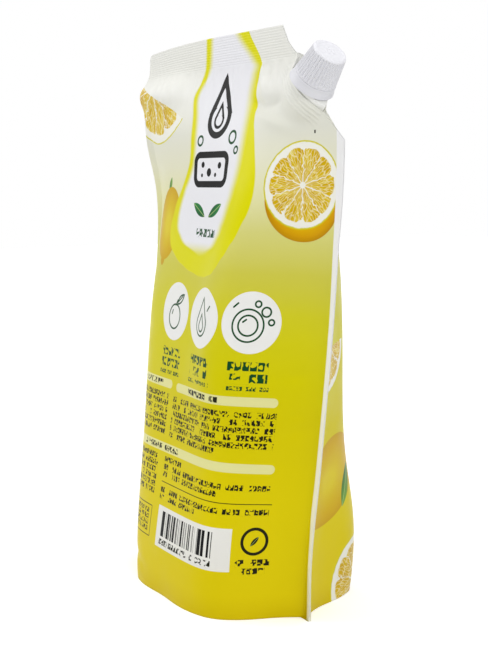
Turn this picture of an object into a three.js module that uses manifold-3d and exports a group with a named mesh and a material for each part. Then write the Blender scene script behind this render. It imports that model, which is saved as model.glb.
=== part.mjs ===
// Refill pouch of dish soap: a standing film pouch with a screw-capped spout welded into its cut corner.
// Millimetres, +Z up, origin at the middle of the base. +X points to the seam below the spout and
// -Y is the way the information panel faces.
import * as THREE from 'three';
import { mergeVertices } from 'three/addons/utils/BufferGeometryUtils.js';
import Module from 'manifold-3d';

const wasm = await Module();
wasm.setup();

// Film pouch
const FILM_WIDTH = 170; // flat width, seam edge to seam edge
const HEIGHT = 288; // standing height, floor to the top edge
const SIDE_SEAL = 6;
const TOP_SEAL = 15;
const SEAL_THICKNESS = 1; // both films welded together
const RIB_PITCH = 1.25; // press marks across the top seal
const RIB_HEIGHT = 0.2;
const CORNER_RADIUS = 3;
const TOP_EDGE_END = 42; // from the top edge's right end to the seam edge
const EAR_KNEE_OUT = 7; // film between the top edge and the spout: out from the top edge's end
const EAR_KNEE_DOWN = 11; // and down from the top
const EAR_TIP_OUT = 11.6;
const EAR_TIP_DOWN = 15.2;
const EAR_NECK_OUT = 10.2; // where the ear meets the cut, clear of the tamper ring
const SEAM_SWAY = 16; // farthest that a side seam stands out from the plane of the top seal

// Foot: a thin skirt of film with a shallow moat inside it, round the flat middle of the gusset
const SKIRT_FOOT = 1.2;
const MOAT_REACH = 5;
const MOAT_DEPTH = 3.2;
const MOAT_END = 12;
const MOAT_FULL_GAP = 15; // half gap between the films from which the moat has its full depth
const FOOT_SPINE = 30; // half length of the line that the foot's offsets aim at

// Spout: boat-shaped weld base, neck and bore, on an axis at right angles to the cut corner
const SPOUT_TILT = Math.PI / 4; // from upright towards +X
const SPOUT_FROM_SEAM = 23.1; // spout axis at the deck, in from the seam edge
const SPOUT_SIDE = 2; // spout axis, out from the plane of the top seal
const DECK_DROP = 27.9; // spout axis at the deck, below the top edge
const DECK_PROUD = 1; // deck above the film's cut edge
const BASE_HALF_LENGTH = 15;
const BASE_HALF_WIDTH = 7;
const BASE_DEPTH = 10;
const WELD_RIBS = 5;
const WELD_RIB_PITCH = 2;
const WELD_RIB_WIDTH = 0.9;
const WELD_RIB_HEIGHT = 0.4;
const BORE_RADIUS = 5;
const NECK_RADIUS = 6.3;
const THREAD_DEPTH = 0.8; // room kept on the neck for the thread
const BEAD_HEIGHT = 1.2; // bead that holds the tamper ring down
const BEAD_RADIUS = 7.2;

// Tamper ring
const RING_HEIGHT = 4.3;
const RING_BOTTOM_RADIUS = 11.7;
const RING_TOP_RADIUS = 10.8;
const RING_WALL = 1.3;
const RING_LIP_HEIGHT = 1.5;
const RING_LIP_START = 1;
const RING_EDGE = 0.4;

// Screw cap
const CAP_HEIGHT = 15.1;
const CAP_BOTTOM_RADIUS = 10.6;
const CAP_TOP_RADIUS = 8.6;
const CAP_DISC = 1.6;
const CAP_ROUND = 1.2; // rounding of the top edge
const KNURLS = 36;
const KNURL_DEPTH = 0.4;
const KNURL_MARGIN = 0.8; // plain band below the knurling
const CAP_DISH = 0.3;
const DISH_RADIUS = 6.2;
const GATE_RADIUS = 2.5;
const GATE_WALL = 0.7;
const PLUG_WALL = 1.2;
const PLUG_DEPTH = 3.5;

// Clearances
const CLEARANCE = 0.3; // between pieces that touch
const RING_GAP = 0.5; // deck to tamper ring
const CAP_GAP = 0.4; // tamper ring to cap
const THREAD_CLEARANCE = 0.25;
const FILM_OVER_BASE = 0.9; // film outside the weld base

// Fineness
const COLUMNS = 26;
const ROUND = 48;
const ROWS_BELOW = 20;
const ROWS_ABOVE = 14;
const CLOSE_ROWS_FROM = 0.72; // share of the filled height from which the rows are closer, for the spout
const ARC_STEPS = 16; // on each side of the weld base
const CORNER_STEPS = 6;
const MERGE_DISTANCE = 1e-5;

const HALF_WIDTH = FILM_WIDTH / 2;
const HALF_FILM = HALF_WIDTH - SIDE_SEAL;
const FILLED_HEIGHT = HEIGHT - TOP_SEAL;
const SPOUT_ORIGIN = new THREE.Vector3(HALF_WIDTH - SPOUT_FROM_SEAM, SPOUT_SIDE, HEIGHT - DECK_DROP);
const SPOUT_SPAN = 44; // film round the spout that is drawn away from its plane
const BASE_SWELL = 1.5; // softness where the film leaves the weld base
const TUCK = new THREE.Vector3(0.99, 0.5, 1); // draws the films' top ring inside the top seal

// How the films bend, at nine heights given as shares of the filled height. Seam places are shares of
// half the film width, with y as shares of the seam's sway. Angles are in degrees from the plane of the seams:
// next to the seam (edge), on the flank, across the middle (lean), in a valley of the middle (dip), and
// of the side seals themselves (turn). Folds between flank and middle, the valley's place and the folds'
// softness are shares of half the film between the seals.
const LEVELS = [0, 0.13, 0.29, 0.52, 0.67, 0.77, 0.87, 0.945, 1];
const RIGHT_SEAM = {
  x: [0.835, 0.89, 0.93, 0.965, 0.99, 1, 1, 1, 1],
  y: [-0.09375, -0.28125, -0.125, 0.125, 0.15625, 0.1875, 0.1875, 0.09375, 0],
  turn: [-18, -18, -18, -17, -10, 0, 6, 3, 0],
};
const LEFT_SEAM = {
  x: [-0.765, -0.8, -0.86, -0.93, -0.965, -0.975, -0.995, -1, -1],
  y: [-1, -0.875, -0.6875, -0.375, 0.0625, 0.125, -0.15625, -0.28125, 0],
  turn: [38, 38, 36, 30, 12, 0, -5, 10, 0],
};
const BACK_FILM = {
  side: -1,
  lean: [-3, -2, -3, -5.5, -3, -1, 1, 0, 0],
  dip: [0, 0, -2, -9, -9, -9, -7, -4, 0],
  dipPlace: [0.1, 0.1, 0.08, 0.07, 0.13, 0.25, 0.32, 0.33, 0.33],
  right: [62, 62, 49, 40, 32, 28, 18, 6, 0],
  rightEdge: [58, 34, 20, 10, 8, 12, 10, 4, 0],
  rightFold: [0.405, 0.405, 0.365, 0.24, 0.28, 0.34, 0.38, 0.43, 0.43],
  rightSoft: [0.12, 0.125, 0.14, 0.09, 0.09, 0.115, 0.15, 0.18, 0.18],
  left: [-52, -52, -50, -48, -42, -28, -14, -3, 0],
  leftEdge: [-44, -44, -44, -44, -40, -26, -12, 0, 0],
  leftFold: [-0.57, -0.63, -0.695, -0.835, -0.835, -0.81, -0.785, -0.76, -0.76],
  leftSoft: [0.1, 0.115, 0.125, 0.125, 0.15, 0.18, 0.18, 0.18, 0.18],
};
const FRONT_FILM = {
  side: 1,
  lean: [-12, -10, -7, -4, -2, -1, 0, 0, 0],
  dip: [0, 0, 0, 0, 0, 0, 0, 0, 0],
  dipPlace: [0, 0, 0, 0, 0, 0, 0, 0, 0],
  right: [76, 74, 67, 62, 54, 40, 20, 4, 0],
  rightEdge: [66, 64, 60, 54, 46, 30, 12, 2, 0],
  rightFold: [0.375, 0.325, 0.385, 0.46, 0.48, 0.455, 0.405, 0.38, 0.38],
  rightSoft: [0.09, 0.125, 0.175, 0.2, 0.2, 0.2, 0.2, 0.225, 0.225],
  left: [-72, -64, -52, -44, -36, -26, -15, -4, 0],
  leftEdge: [-50, -44, -36, -24, -16, -10, -5, -2, 0],
  leftFold: [-0.405, -0.405, -0.43, -0.43, -0.405, -0.38, -0.43, -0.43, -0.43],
  leftSoft: [0.125, 0.15, 0.2, 0.225, 0.225, 0.225, 0.225, 0.225, 0.225],
};
const DIP_WIDTH = 0.17; // shallow valley between the flank and the middle, as a share of half the film
const RIGHT_STIFF = { from: 0.835, soft: 0.09 }; // film held flat by the right seal
const LEFT_STIFF = { from: 0.875, soft: 0.065 };

// Smooth curve through one value for each of LEVELS
function atLevel(values, level) {
  const last = LEVELS.length - 1;
  let i = 0;
  while (i < last - 1 && LEVELS[i + 1] <= level) i += 1;
  const slope = (k) => {
    if (k === 0 || k === last) return 0;
    return (values[k + 1] - values[k - 1]) / (LEVELS[k + 1] - LEVELS[k - 1]);
  };
  const span = LEVELS[i + 1] - LEVELS[i];
  const t = THREE.MathUtils.clamp((level - LEVELS[i]) / span, 0, 1);
  const t2 = t * t;
  const t3 = t2 * t;
  const ends = (2 * t3 - 3 * t2 + 1) * values[i] + (3 * t2 - 2 * t3) * values[i + 1];
  return ends + ((t3 - 2 * t2 + t) * slope(i) + (t3 - t2) * slope(i + 1)) * span;
}

const softStep = (t) => (1 + Math.tanh(t)) / 2;

// Angle of a film at a share of its half width (1 at the right seal, -1 at the left one)
function filmAngle(film, level, share) {
  const at = (values) => atLevel(values, level);
  const right = at(film.rightEdge)
    + (at(film.right) - at(film.rightEdge)) * softStep((RIGHT_STIFF.from - share) / RIGHT_STIFF.soft);
  const left = at(film.leftEdge)
    + (at(film.left) - at(film.leftEdge)) * softStep((LEFT_STIFF.from + share) / LEFT_STIFF.soft);
  const valley = Math.exp(-(((share - at(film.dipPlace)) / DIP_WIDTH) ** 2));
  const lean = at(film.lean) + at(film.dip) * valley;
  const angle = lean
    + (right - lean) * softStep((share - at(film.rightFold)) / at(film.rightSoft))
    + (left - lean) * softStep((at(film.leftFold) - share) / at(film.leftSoft));
  return THREE.MathUtils.degToRad(angle);
}

// Half thickness of the weld base at a distance along it from the spout's axis
function basePlan(along, halfLength, halfWidth) {
  return halfWidth * (1 - (along / halfLength) ** 2);
}

// The films part to go round the weld base: least distance of a film from the spout's middle plane
function filmRoundBase(x, z) {
  const dx = x - SPOUT_ORIGIN.x;
  const dz = z - SPOUT_ORIGIN.z;
  const along = dx * Math.cos(SPOUT_TILT) - dz * Math.sin(SPOUT_TILT);
  const depth = -(dx * Math.sin(SPOUT_TILT) + dz * Math.cos(SPOUT_TILT));
  const room = WELD_RIB_HEIGHT + CLEARANCE + FILM_OVER_BASE;
  const width = basePlan(along, BASE_HALF_LENGTH + room, BASE_HALF_WIDTH + room);
  const below = Math.max(0, depth - BASE_DEPTH - room) / SPOUT_SPAN;
  return width * Math.max(0, 1 - below) ** 2;
}

function smoothMax(a, b, softness) {
  const h = THREE.MathUtils.clamp(0.5 + (a - b) / (2 * softness), 0, 1);
  return b + (a - b) * h + softness * h * (1 - h);
}

// Points of one film at one height, from the right seal to the left one
function filmPoints(film, z) {
  const level = Math.min(z / FILLED_HEIGHT, 1);
  const step = (2 * HALF_FILM) / COLUMNS;
  const rightX = HALF_WIDTH * atLevel(RIGHT_SEAM.x, level) - SIDE_SEAL;
  const leftX = HALF_WIDTH * atLevel(LEFT_SEAM.x, level) + SIDE_SEAL;
  const rightY = SEAM_SWAY * atLevel(RIGHT_SEAM.y, level);
  const leftY = SEAM_SWAY * atLevel(LEFT_SEAM.y, level);
  const across = [0];
  const out = [0];
  for (let i = 0; i < COLUMNS; i += 1) {
    const share = 1 - (2 * i + 1) / COLUMNS;
    const angle = filmAngle(film, level, share);
    across.push(across[i] + Math.cos(angle) * step);
    out.push(out[i] + film.side * Math.sin(angle) * step);
  }
  const stretch = (rightX - leftX) / across[COLUMNS];
  const miss = rightY + out[COLUMNS] - leftY;
  return across.map((a, i) => {
    const x = rightX - a * stretch;
    const plain = rightY + out[i] - miss * (i / COLUMNS) ** 2;
    const reach = film.side * (plain - SPOUT_SIDE);
    const base = filmRoundBase(x, z);
    const y = base > 0 ? SPOUT_SIDE + film.side * smoothMax(reach, base, BASE_SWELL) : plain;
    return new THREE.Vector3(x, y + (film.side * SEAL_THICKNESS) / 2, z);
  });
}

// Ring of the whole pouch at one height: right seal, back film, left seal, front film
function pouchRing(z) {
  const level = Math.min(z / FILLED_HEIGHT, 1);
  const seal = (seam, end, side) => {
    const turn = THREE.MathUtils.degToRad(atLevel(seam.turn, level));
    const x = HALF_WIDTH * atLevel(seam.x, level) - end * SIDE_SEAL * (1 - Math.cos(turn));
    const y = SEAM_SWAY * atLevel(seam.y, level) + SIDE_SEAL * Math.sin(turn);
    return new THREE.Vector3(x, y + (side * SEAL_THICKNESS) / 2, z);
  };
  return [
    seal(RIGHT_SEAM, 1, -1),
    ...filmPoints(BACK_FILM, z),
    seal(LEFT_SEAM, -1, -1),
    seal(LEFT_SEAM, -1, 1),
    ...filmPoints(FRONT_FILM, z).reverse(),
    seal(RIGHT_SEAM, 1, 1),
  ];
}

// Ring moved inwards, towards a line through the middle of the foot, and lifted where the films are apart
function footRing(outline, distance, lift) {
  const last = outline.length - 1;
  return outline.map((point, i) => {
    const mate = outline[last - i];
    const middle = (point.y + mate.y) / 2;
    const aim = new THREE.Vector3(THREE.MathUtils.clamp(point.x, -FOOT_SPINE, FOOT_SPINE), middle, 0);
    const gap = Math.abs(point.y - mate.y) / 2;
    const moved = point.clone().add(aim.sub(point).setLength(distance));
    moved.z = lift * Math.min(1, gap / MOAT_FULL_GAP);
    return moved;
  });
}

// Closed geometry from a stack of rings of equal length: sides, and both ends closed across from
// film to film
function stackRings(rings) {
  const size = rings[0].length;
  const positions = rings.flat().flatMap((p) => [p.x, p.y, p.z]);
  const faces = [];
  for (let r = 0; r + 1 < rings.length; r += 1) {
    for (let i = 0; i < size; i += 1) {
      const a = r * size + i;
      const b = r * size + ((i + 1) % size);
      faces.push(a, a + size, b, b, a + size, b + size);
    }
  }
  const top = (rings.length - 1) * size;
  for (let i = 0; i + 1 < size / 2; i += 1) {
    const mate = size - 1 - i;
    faces.push(i, i + 1, mate, mate, i + 1, mate - 1);
    faces.push(top + i, top + mate, top + i + 1, top + i + 1, top + mate, top + mate - 1);
  }
  const geometry = new THREE.BufferGeometry();
  geometry.setAttribute('position', new THREE.Float32BufferAttribute(positions, 3));
  geometry.setIndex(faces);
  return geometry;
}

// Solid from a closed geometry, turned right side out if it is inside out
function toSolid(geometry, matrix = new THREE.Matrix4()) {
  const bare = geometry.clone().applyMatrix4(matrix);
  bare.deleteAttribute('normal');
  bare.deleteAttribute('uv');
  const merged = mergeVertices(bare, MERGE_DISTANCE);
  const p = merged.attributes.position;
  const index = Array.from(merged.index.array);
  let volume = 0;
  const [a, b, c] = [new THREE.Vector3(), new THREE.Vector3(), new THREE.Vector3()];
  for (let i = 0; i < index.length; i += 3) {
    a.fromBufferAttribute(p, index[i]);
    b.fromBufferAttribute(p, index[i + 1]);
    c.fromBufferAttribute(p, index[i + 2]);
    volume += a.dot(b.cross(c));
  }
  const triVerts = new Uint32Array(volume < 0 ? index.reverse() : index);
  const mesh = new wasm.Mesh({ numProp: 3, vertProperties: new Float32Array(p.array), triVerts });
  mesh.merge();
  return new wasm.Manifold(mesh);
}

function toGeometry(solid) {
  const mesh = solid.getMesh();
  const geometry = new THREE.BufferGeometry();
  geometry.setAttribute('position', new THREE.Float32BufferAttribute(mesh.vertProperties, 3));
  geometry.setIndex(Array.from(mesh.triVerts));
  geometry.computeVertexNormals();
  return geometry;
}

// Turned shape about +Z from points of radius and height
function turned(points, segments = ROUND) {
  const profile = points.map(([radius, height]) => new THREE.Vector2(radius, height));
  return new THREE.LatheGeometry(profile, segments).rotateX(Math.PI / 2);
}

// Boat-shaped plate: two arcs that meet in points, from a start height upwards
function boatPlate(halfLength, halfWidth, start, height) {
  const radius = (halfLength ** 2 + halfWidth ** 2) / (2 * halfWidth);
  const half = Math.asin(halfLength / radius);
  const quarter = Math.PI / 2;
  const shape = new THREE.Shape();
  shape.absarc(0, halfWidth - radius, radius, quarter - half, quarter + half, false);
  shape.absarc(0, radius - halfWidth, radius, -quarter - half, -quarter + half, false);
  const plate = new THREE.ExtrudeGeometry(shape, { depth: height, bevelEnabled: false, curveSegments: ARC_STEPS });
  return plate.translate(0, 0, start);
}

const spoutMatrix = new THREE.Matrix4()
  .makeRotationY(SPOUT_TILT)
  .setPosition(SPOUT_ORIGIN);

// Outline of the flat film: rounded top corner, top edge and the corner cut off for the spout
function filmOutline() {
  const topRight = HALF_WIDTH - TOP_EDGE_END;
  const cutSum = SPOUT_ORIGIN.x + SPOUT_ORIGIN.z - DECK_PROUD * Math.SQRT2; // x + z all along the cut
  const margin = 10;
  const ear = [
    [topRight + EAR_KNEE_OUT, HEIGHT - EAR_KNEE_DOWN],
    [topRight + EAR_TIP_OUT, HEIGHT - EAR_TIP_DOWN],
    [topRight + EAR_NECK_OUT, cutSum - topRight - EAR_NECK_OUT],
  ];
  const shape = new THREE.Shape();
  shape.moveTo(-HALF_WIDTH - margin, -margin);
  shape.lineTo(-HALF_WIDTH - margin, HEIGHT - TOP_SEAL / 2);
  shape.lineTo(-HALF_WIDTH, HEIGHT - TOP_SEAL / 2);
  shape.absarc(-HALF_WIDTH + CORNER_RADIUS, HEIGHT - CORNER_RADIUS, CORNER_RADIUS, Math.PI, Math.PI / 2, true);
  shape.lineTo(topRight, HEIGHT);
  ear.forEach(([x, z]) => shape.lineTo(x, z));
  shape.lineTo(HALF_WIDTH + margin, cutSum - HALF_WIDTH - margin);
  shape.lineTo(HALF_WIDTH + margin, -margin);
  const depth = 2 * FILM_WIDTH;
  return new THREE.ExtrudeGeometry(shape, { depth, bevelEnabled: false, curveSegments: CORNER_STEPS })
    .translate(0, 0, -depth / 2)
    .rotateX(Math.PI / 2);
}

// Welded strip across the top, with the fine ribs that the sealing jaws press into it
function topSeal() {
  const half = SEAL_THICKNESS / 2;
  const ribs = Math.round(TOP_SEAL / RIB_PITCH);
  const bottom = HEIGHT - ribs * RIB_PITCH;
  const shape = new THREE.Shape();
  shape.moveTo(half, bottom);
  for (let i = 0; i < ribs; i += 1) {
    shape.lineTo(half + RIB_HEIGHT, bottom + (i + 0.5) * RIB_PITCH);
    shape.lineTo(half, bottom + (i + 1) * RIB_PITCH);
  }
  shape.lineTo(-half, HEIGHT);
  for (let i = ribs - 1; i >= 0; i -= 1) {
    shape.lineTo(-half - RIB_HEIGHT, bottom + (i + 0.5) * RIB_PITCH);
    shape.lineTo(-half, bottom + i * RIB_PITCH);
  }
  const strip = new THREE.ExtrudeGeometry(shape, { depth: FILM_WIDTH, bevelEnabled: false });
  const basis = new THREE.Matrix4().makeBasis(
    new THREE.Vector3(0, 1, 0),
    new THREE.Vector3(0, 0, 1),
    new THREE.Vector3(1, 0, 0),
  );
  return strip.applyMatrix4(basis).translate(-HALF_WIDTH, 0, 0);
}

// The filled pouch: both films, the seals and the contents as one solid
function pouch() {
  const turnHeight = FILLED_HEIGHT * CLOSE_ROWS_FROM;
  const heights = [];
  for (let i = 0; i < ROWS_BELOW; i += 1) heights.push((turnHeight * i) / ROWS_BELOW);
  for (let i = 0; i <= ROWS_ABOVE; i += 1) {
    heights.push(turnHeight + ((FILLED_HEIGHT - turnHeight) * i) / ROWS_ABOVE);
  }
  const outline = pouchRing(0);
  const neckIn = pouchRing(FILLED_HEIGHT + TOP_SEAL / 4).map((p) => p.multiply(TUCK));
  const rings = [
    footRing(outline, MOAT_END, 0),
    footRing(outline, MOAT_REACH, MOAT_DEPTH),
    footRing(outline, SKIRT_FOOT, 0),
    ...heights.map(pouchRing),
    neckIn,
  ];
  const reach = BASE_HALF_LENGTH + WELD_RIB_HEIGHT + CLEARANCE;
  const depth = BASE_DEPTH + CLEARANCE;
  const pocket = boatPlate(reach, BASE_HALF_WIDTH + WELD_RIB_HEIGHT + CLEARANCE, -depth, 2 * depth);
  return toSolid(stackRings(rings))
    .add(toSolid(topSeal()))
    .intersect(toSolid(filmOutline()))
    .subtract(toSolid(pocket, spoutMatrix));
}

// Heights along the spout's axis, from the deck
const RING_BOTTOM = RING_GAP;
const CAP_BOTTOM = RING_BOTTOM + RING_HEIGHT + CAP_GAP;
const NECK_TOP = CAP_BOTTOM + CAP_HEIGHT - CAP_DISC - CLEARANCE;
const LIP_TOP = RING_BOTTOM + RING_LIP_START + RING_LIP_HEIGHT;

// Moulded spout: weld base with ribs, neck with the bead that holds the tamper ring, and the bore
function spout() {
  let solid = toSolid(boatPlate(BASE_HALF_LENGTH, BASE_HALF_WIDTH, -BASE_DEPTH, BASE_DEPTH));
  for (let i = 0; i < WELD_RIBS; i += 1) {
    const start = -BASE_DEPTH + WELD_RIB_WIDTH / 2 + i * WELD_RIB_PITCH;
    const length = BASE_HALF_LENGTH + WELD_RIB_HEIGHT;
    const width = BASE_HALF_WIDTH + WELD_RIB_HEIGHT;
    solid = solid.add(toSolid(boatPlate(length, width, start, WELD_RIB_WIDTH)));
  }
  const bead = LIP_TOP + CLEARANCE;
  const neck = turned([
    [0, -BASE_DEPTH / 2],
    [NECK_RADIUS, -BASE_DEPTH / 2],
    [NECK_RADIUS, bead],
    [BEAD_RADIUS, bead],
    [NECK_RADIUS, bead + BEAD_HEIGHT],
    [NECK_RADIUS, NECK_TOP - RING_EDGE],
    [NECK_RADIUS - RING_EDGE, NECK_TOP],
    [0, NECK_TOP],
  ]);
  const margin = 2;
  const bore = turned([
    [0, -BASE_DEPTH - margin],
    [BORE_RADIUS, -BASE_DEPTH - margin],
    [BORE_RADIUS, NECK_TOP + margin],
    [0, NECK_TOP + margin],
  ]);
  return solid.add(toSolid(neck)).subtract(toSolid(bore));
}

// Tamper ring: a flared collar whose inner lip hooks under the neck's bead
function tamperRing() {
  const bottom = RING_BOTTOM;
  const top = RING_BOTTOM + RING_HEIGHT;
  const lip = NECK_RADIUS + CLEARANCE;
  const inner = RING_TOP_RADIUS - RING_WALL;
  return toSolid(turned([
    [lip, bottom + RING_LIP_START],
    [inner, bottom + RING_EDGE],
    [RING_BOTTOM_RADIUS - RING_EDGE, bottom],
    [RING_BOTTOM_RADIUS, bottom + RING_EDGE],
    [RING_TOP_RADIUS, top - RING_EDGE],
    [RING_TOP_RADIUS - RING_EDGE, top],
    [inner, top],
    [inner, LIP_TOP],
    [lip, LIP_TOP],
    [lip, bottom + RING_LIP_START],
  ]));
}

// Screw cap: knurled shell with a dished top and a plug ring that seals the bore
function screwCap() {
  const bottom = CAP_BOTTOM;
  const top = CAP_BOTTOM + CAP_HEIGHT;
  const shell = NECK_RADIUS + THREAD_DEPTH + THREAD_CLEARANCE;
  const plug = BORE_RADIUS - CLEARANCE;
  const ceiling = top - CAP_DISC;
  const halfway = CAP_ROUND * (1 - Math.SQRT1_2); // of the rounded top edge
  const profile = [
    [0, top - CAP_DISH],
    [GATE_RADIUS - GATE_WALL, top - CAP_DISH],
    [GATE_RADIUS - GATE_WALL, top],
    [GATE_RADIUS, top],
    [GATE_RADIUS, top - CAP_DISH],
    [DISH_RADIUS, top - CAP_DISH],
    [CAP_TOP_RADIUS - CAP_ROUND, top],
    [CAP_TOP_RADIUS - halfway, top - halfway],
    [CAP_TOP_RADIUS, top - CAP_ROUND],
    [CAP_BOTTOM_RADIUS, bottom + KNURL_MARGIN],
    [CAP_BOTTOM_RADIUS, bottom],
    [shell, bottom],
    [shell, ceiling],
    [plug, ceiling],
    [plug, ceiling - PLUG_DEPTH],
    [plug - PLUG_WALL, ceiling - PLUG_DEPTH],
    [plug - PLUG_WALL, ceiling],
    [0, ceiling],
  ];
  const geometry = turned(profile, 2 * KNURLS);
  const points = profile.length;
  const topRow = 8;
  const bottomRow = 9;
  const position = geometry.attributes.position;
  for (let segment = 1; segment < 2 * KNURLS; segment += 2) {
    [topRow, bottomRow].forEach((row) => {
      const i = segment * points + row;
      const radius = profile[row][0];
      const share = (radius - KNURL_DEPTH) / radius;
      position.setXY(i, position.getX(i) * share, position.getY(i) * share);
    });
  }
  return toSolid(geometry);
}

function piece(name, solid, color, roughness) {
  const material = new THREE.MeshStandardMaterial({ color, roughness, metalness: 0 });
  const mesh = new THREE.Mesh(toGeometry(solid), material);
  mesh.name = name;
  return mesh;
}

const refillPouch = new THREE.Group();
refillPouch.add(piece('pouch', pouch(), 0xe0d400, 0.35));

const closure = new THREE.Group();
closure.applyMatrix4(spoutMatrix);
closure.add(piece('spout', spout(), 0xf0f0ec, 0.4));
closure.add(piece('tamper_ring', tamperRing(), 0xf4f4f6, 0.4));
closure.add(piece('screw_cap', screwCap(), 0xf4f4f6, 0.4));
refillPouch.add(closure);

export default refillPouch;
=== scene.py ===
# %% [markdown]
# A refill pouch of dish soap: two printed films welded together round their edges, a folded film for the
# foot, and a moulded spout with a screw cap welded into one cut corner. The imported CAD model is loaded
# first, as a fixed frame: it says where each body is and how it moves. Everything made here is the look
# of those bodies, in metres. It keeps to the same box, apart from bulges, creases and the bow of the top
# edge, which go up to 3 mm beyond it.

import math

import bpy
import numpy as np
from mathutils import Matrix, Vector


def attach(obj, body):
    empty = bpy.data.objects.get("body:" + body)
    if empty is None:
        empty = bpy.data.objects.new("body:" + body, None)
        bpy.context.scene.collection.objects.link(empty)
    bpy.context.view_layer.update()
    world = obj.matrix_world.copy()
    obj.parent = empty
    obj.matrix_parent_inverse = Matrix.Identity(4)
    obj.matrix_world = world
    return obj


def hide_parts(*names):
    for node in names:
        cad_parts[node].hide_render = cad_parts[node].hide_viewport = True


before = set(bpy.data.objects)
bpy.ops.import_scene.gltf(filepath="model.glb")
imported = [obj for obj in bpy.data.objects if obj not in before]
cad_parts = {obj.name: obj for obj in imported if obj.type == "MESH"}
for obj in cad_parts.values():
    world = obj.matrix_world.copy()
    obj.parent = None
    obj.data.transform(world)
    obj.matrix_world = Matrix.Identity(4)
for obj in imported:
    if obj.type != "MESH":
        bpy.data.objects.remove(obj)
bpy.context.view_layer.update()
MM = 0.001

# %% [markdown]
# The camera stands where the photographer stood: in front of the right side seam, turned a good half
# right angle from the information panel, and a little above the middle of the pouch. A camera that looks
# slightly down has a pitch, so it is placed with a distance, a height and two angles, and no shift.

# %% Camera
CAMERA_AZIMUTH = math.radians(55.26)
CAMERA_PITCH = math.radians(7.09)
CAMERA_DISTANCE = 598.9 * MM
CAMERA_HEIGHT = 214 * MM
CAMERA_ASIDE = 5.18 * MM
CAMERA_LENS = 63.2  # millimetres on a 36 mm sensor

right = Vector((math.cos(CAMERA_AZIMUTH), math.sin(CAMERA_AZIMUTH), 0))
away = Vector((-math.sin(CAMERA_AZIMUTH), math.cos(CAMERA_AZIMUTH), 0))
camera_data = bpy.data.cameras.new("camera")
camera_data.lens = CAMERA_LENS
camera_data.clip_start = 0.01
camera = bpy.data.objects.new("camera", camera_data)
camera.location = right * CAMERA_ASIDE - away * CAMERA_DISTANCE + Vector((0, 0, CAMERA_HEIGHT))
gaze = away * math.cos(CAMERA_PITCH) - Vector((0, 0, math.sin(CAMERA_PITCH)))
camera.rotation_euler = gaze.to_track_quat("-Z", "Y").to_euler()
bpy.context.collection.objects.link(camera)
bpy.context.scene.camera = camera
bpy.context.scene.view_settings.view_transform = "Standard"
print("Camera at", [round(value, 4) for value in camera.location])

# %% [markdown]
# A pale product photo has a white ground, but the object must not be lit so strongly that its own whites
# burn out. So the lamps stay soft and plain, and the ground gets its white in another way: where only the
# camera, a reflection or a ray through glass looks at it, the floor and the world glow a little.

# %% Lamps
LAMPS = {
    # name: (place in m, side in m, power in W)
    "key_from_left": ((-1.25, -1.25, 1.25), 1.3, 18.0),
    "fill_from_right": ((1.5, -0.35, 0.75), 1.0, 10.0),
    "top": ((0.1, 0.2, 1.6), 1.2, 7.0),
}
AIM = Vector((0, 0, 0.14))


def soft_lamp(name, place, side, power):
    """Square lamp of the given side that faces AIM."""
    data = bpy.data.lights.new(name, "AREA")
    data.size = side
    data.energy = power
    lamp = bpy.data.objects.new(name, data)
    lamp.location = place
    lamp.rotation_euler = (AIM - Vector(place)).to_track_quat("-Z", "Y").to_euler()
    bpy.context.collection.objects.link(lamp)


for lamp_name, (lamp_place, lamp_side, lamp_power) in LAMPS.items():
    soft_lamp(lamp_name, lamp_place, lamp_side, lamp_power)
print("Lamps:", len(LAMPS))

# %% World
WORLD_LIGHT = 0.42


def seen_directly(tree):
    """1 where a camera, mirror or glass ray looks, 0 where diffuse light is gathered: the greatest of the
    three Light Path outputs."""
    path = tree.nodes.new("ShaderNodeLightPath")
    total = path.outputs["Is Camera Ray"]
    for kind in ("Is Glossy Ray", "Is Transmission Ray"):
        larger = tree.nodes.new("ShaderNodeMath")
        larger.operation = "MAXIMUM"
        tree.links.new(total, larger.inputs[0])
        tree.links.new(path.outputs[kind], larger.inputs[1])
        total = larger.outputs[0]
    return total


world = bpy.data.worlds.new("studio")
world.use_nodes = True
bpy.context.scene.world = world
sky = world.node_tree
sky_light = sky.nodes["Background"]
sky_light.inputs["Color"].default_value = (1, 1, 1, 1)
sky_level = sky.nodes.new("ShaderNodeMapRange")
sky_level.inputs["To Min"].default_value = WORLD_LIGHT
sky_level.inputs["To Max"].default_value = 1.0
sky.links.new(seen_directly(sky), sky_level.inputs["Value"])
sky.links.new(sky_level.outputs[0], sky_light.inputs["Strength"])
print("World light", WORLD_LIGHT)

# %% Floor
FLOOR_HALF = 3.0
FLOOR_PALE = 0.8
FLOOR_GLOW_NEAR, FLOOR_GLOW_FAR = 0.45, 0.8
FLOOR_FADE = (0.35, 1.6)  # metres from the pouch between which the glow rises
FLOOR_DROP = 0.00005  # keeps the floor out of the plane of the foot


def mesh_object(name, points, faces, smooth=True):
    """Object at the origin from an array of points in metres and a list of faces."""
    mesh = bpy.data.meshes.new(name)
    mesh.from_pydata(points.tolist(), [], faces)
    mesh.polygons.foreach_set("use_smooth", np.full(len(mesh.polygons), smooth))
    mesh.update()
    made = bpy.data.objects.new(name, mesh)
    bpy.context.collection.objects.link(made)
    return made


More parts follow.
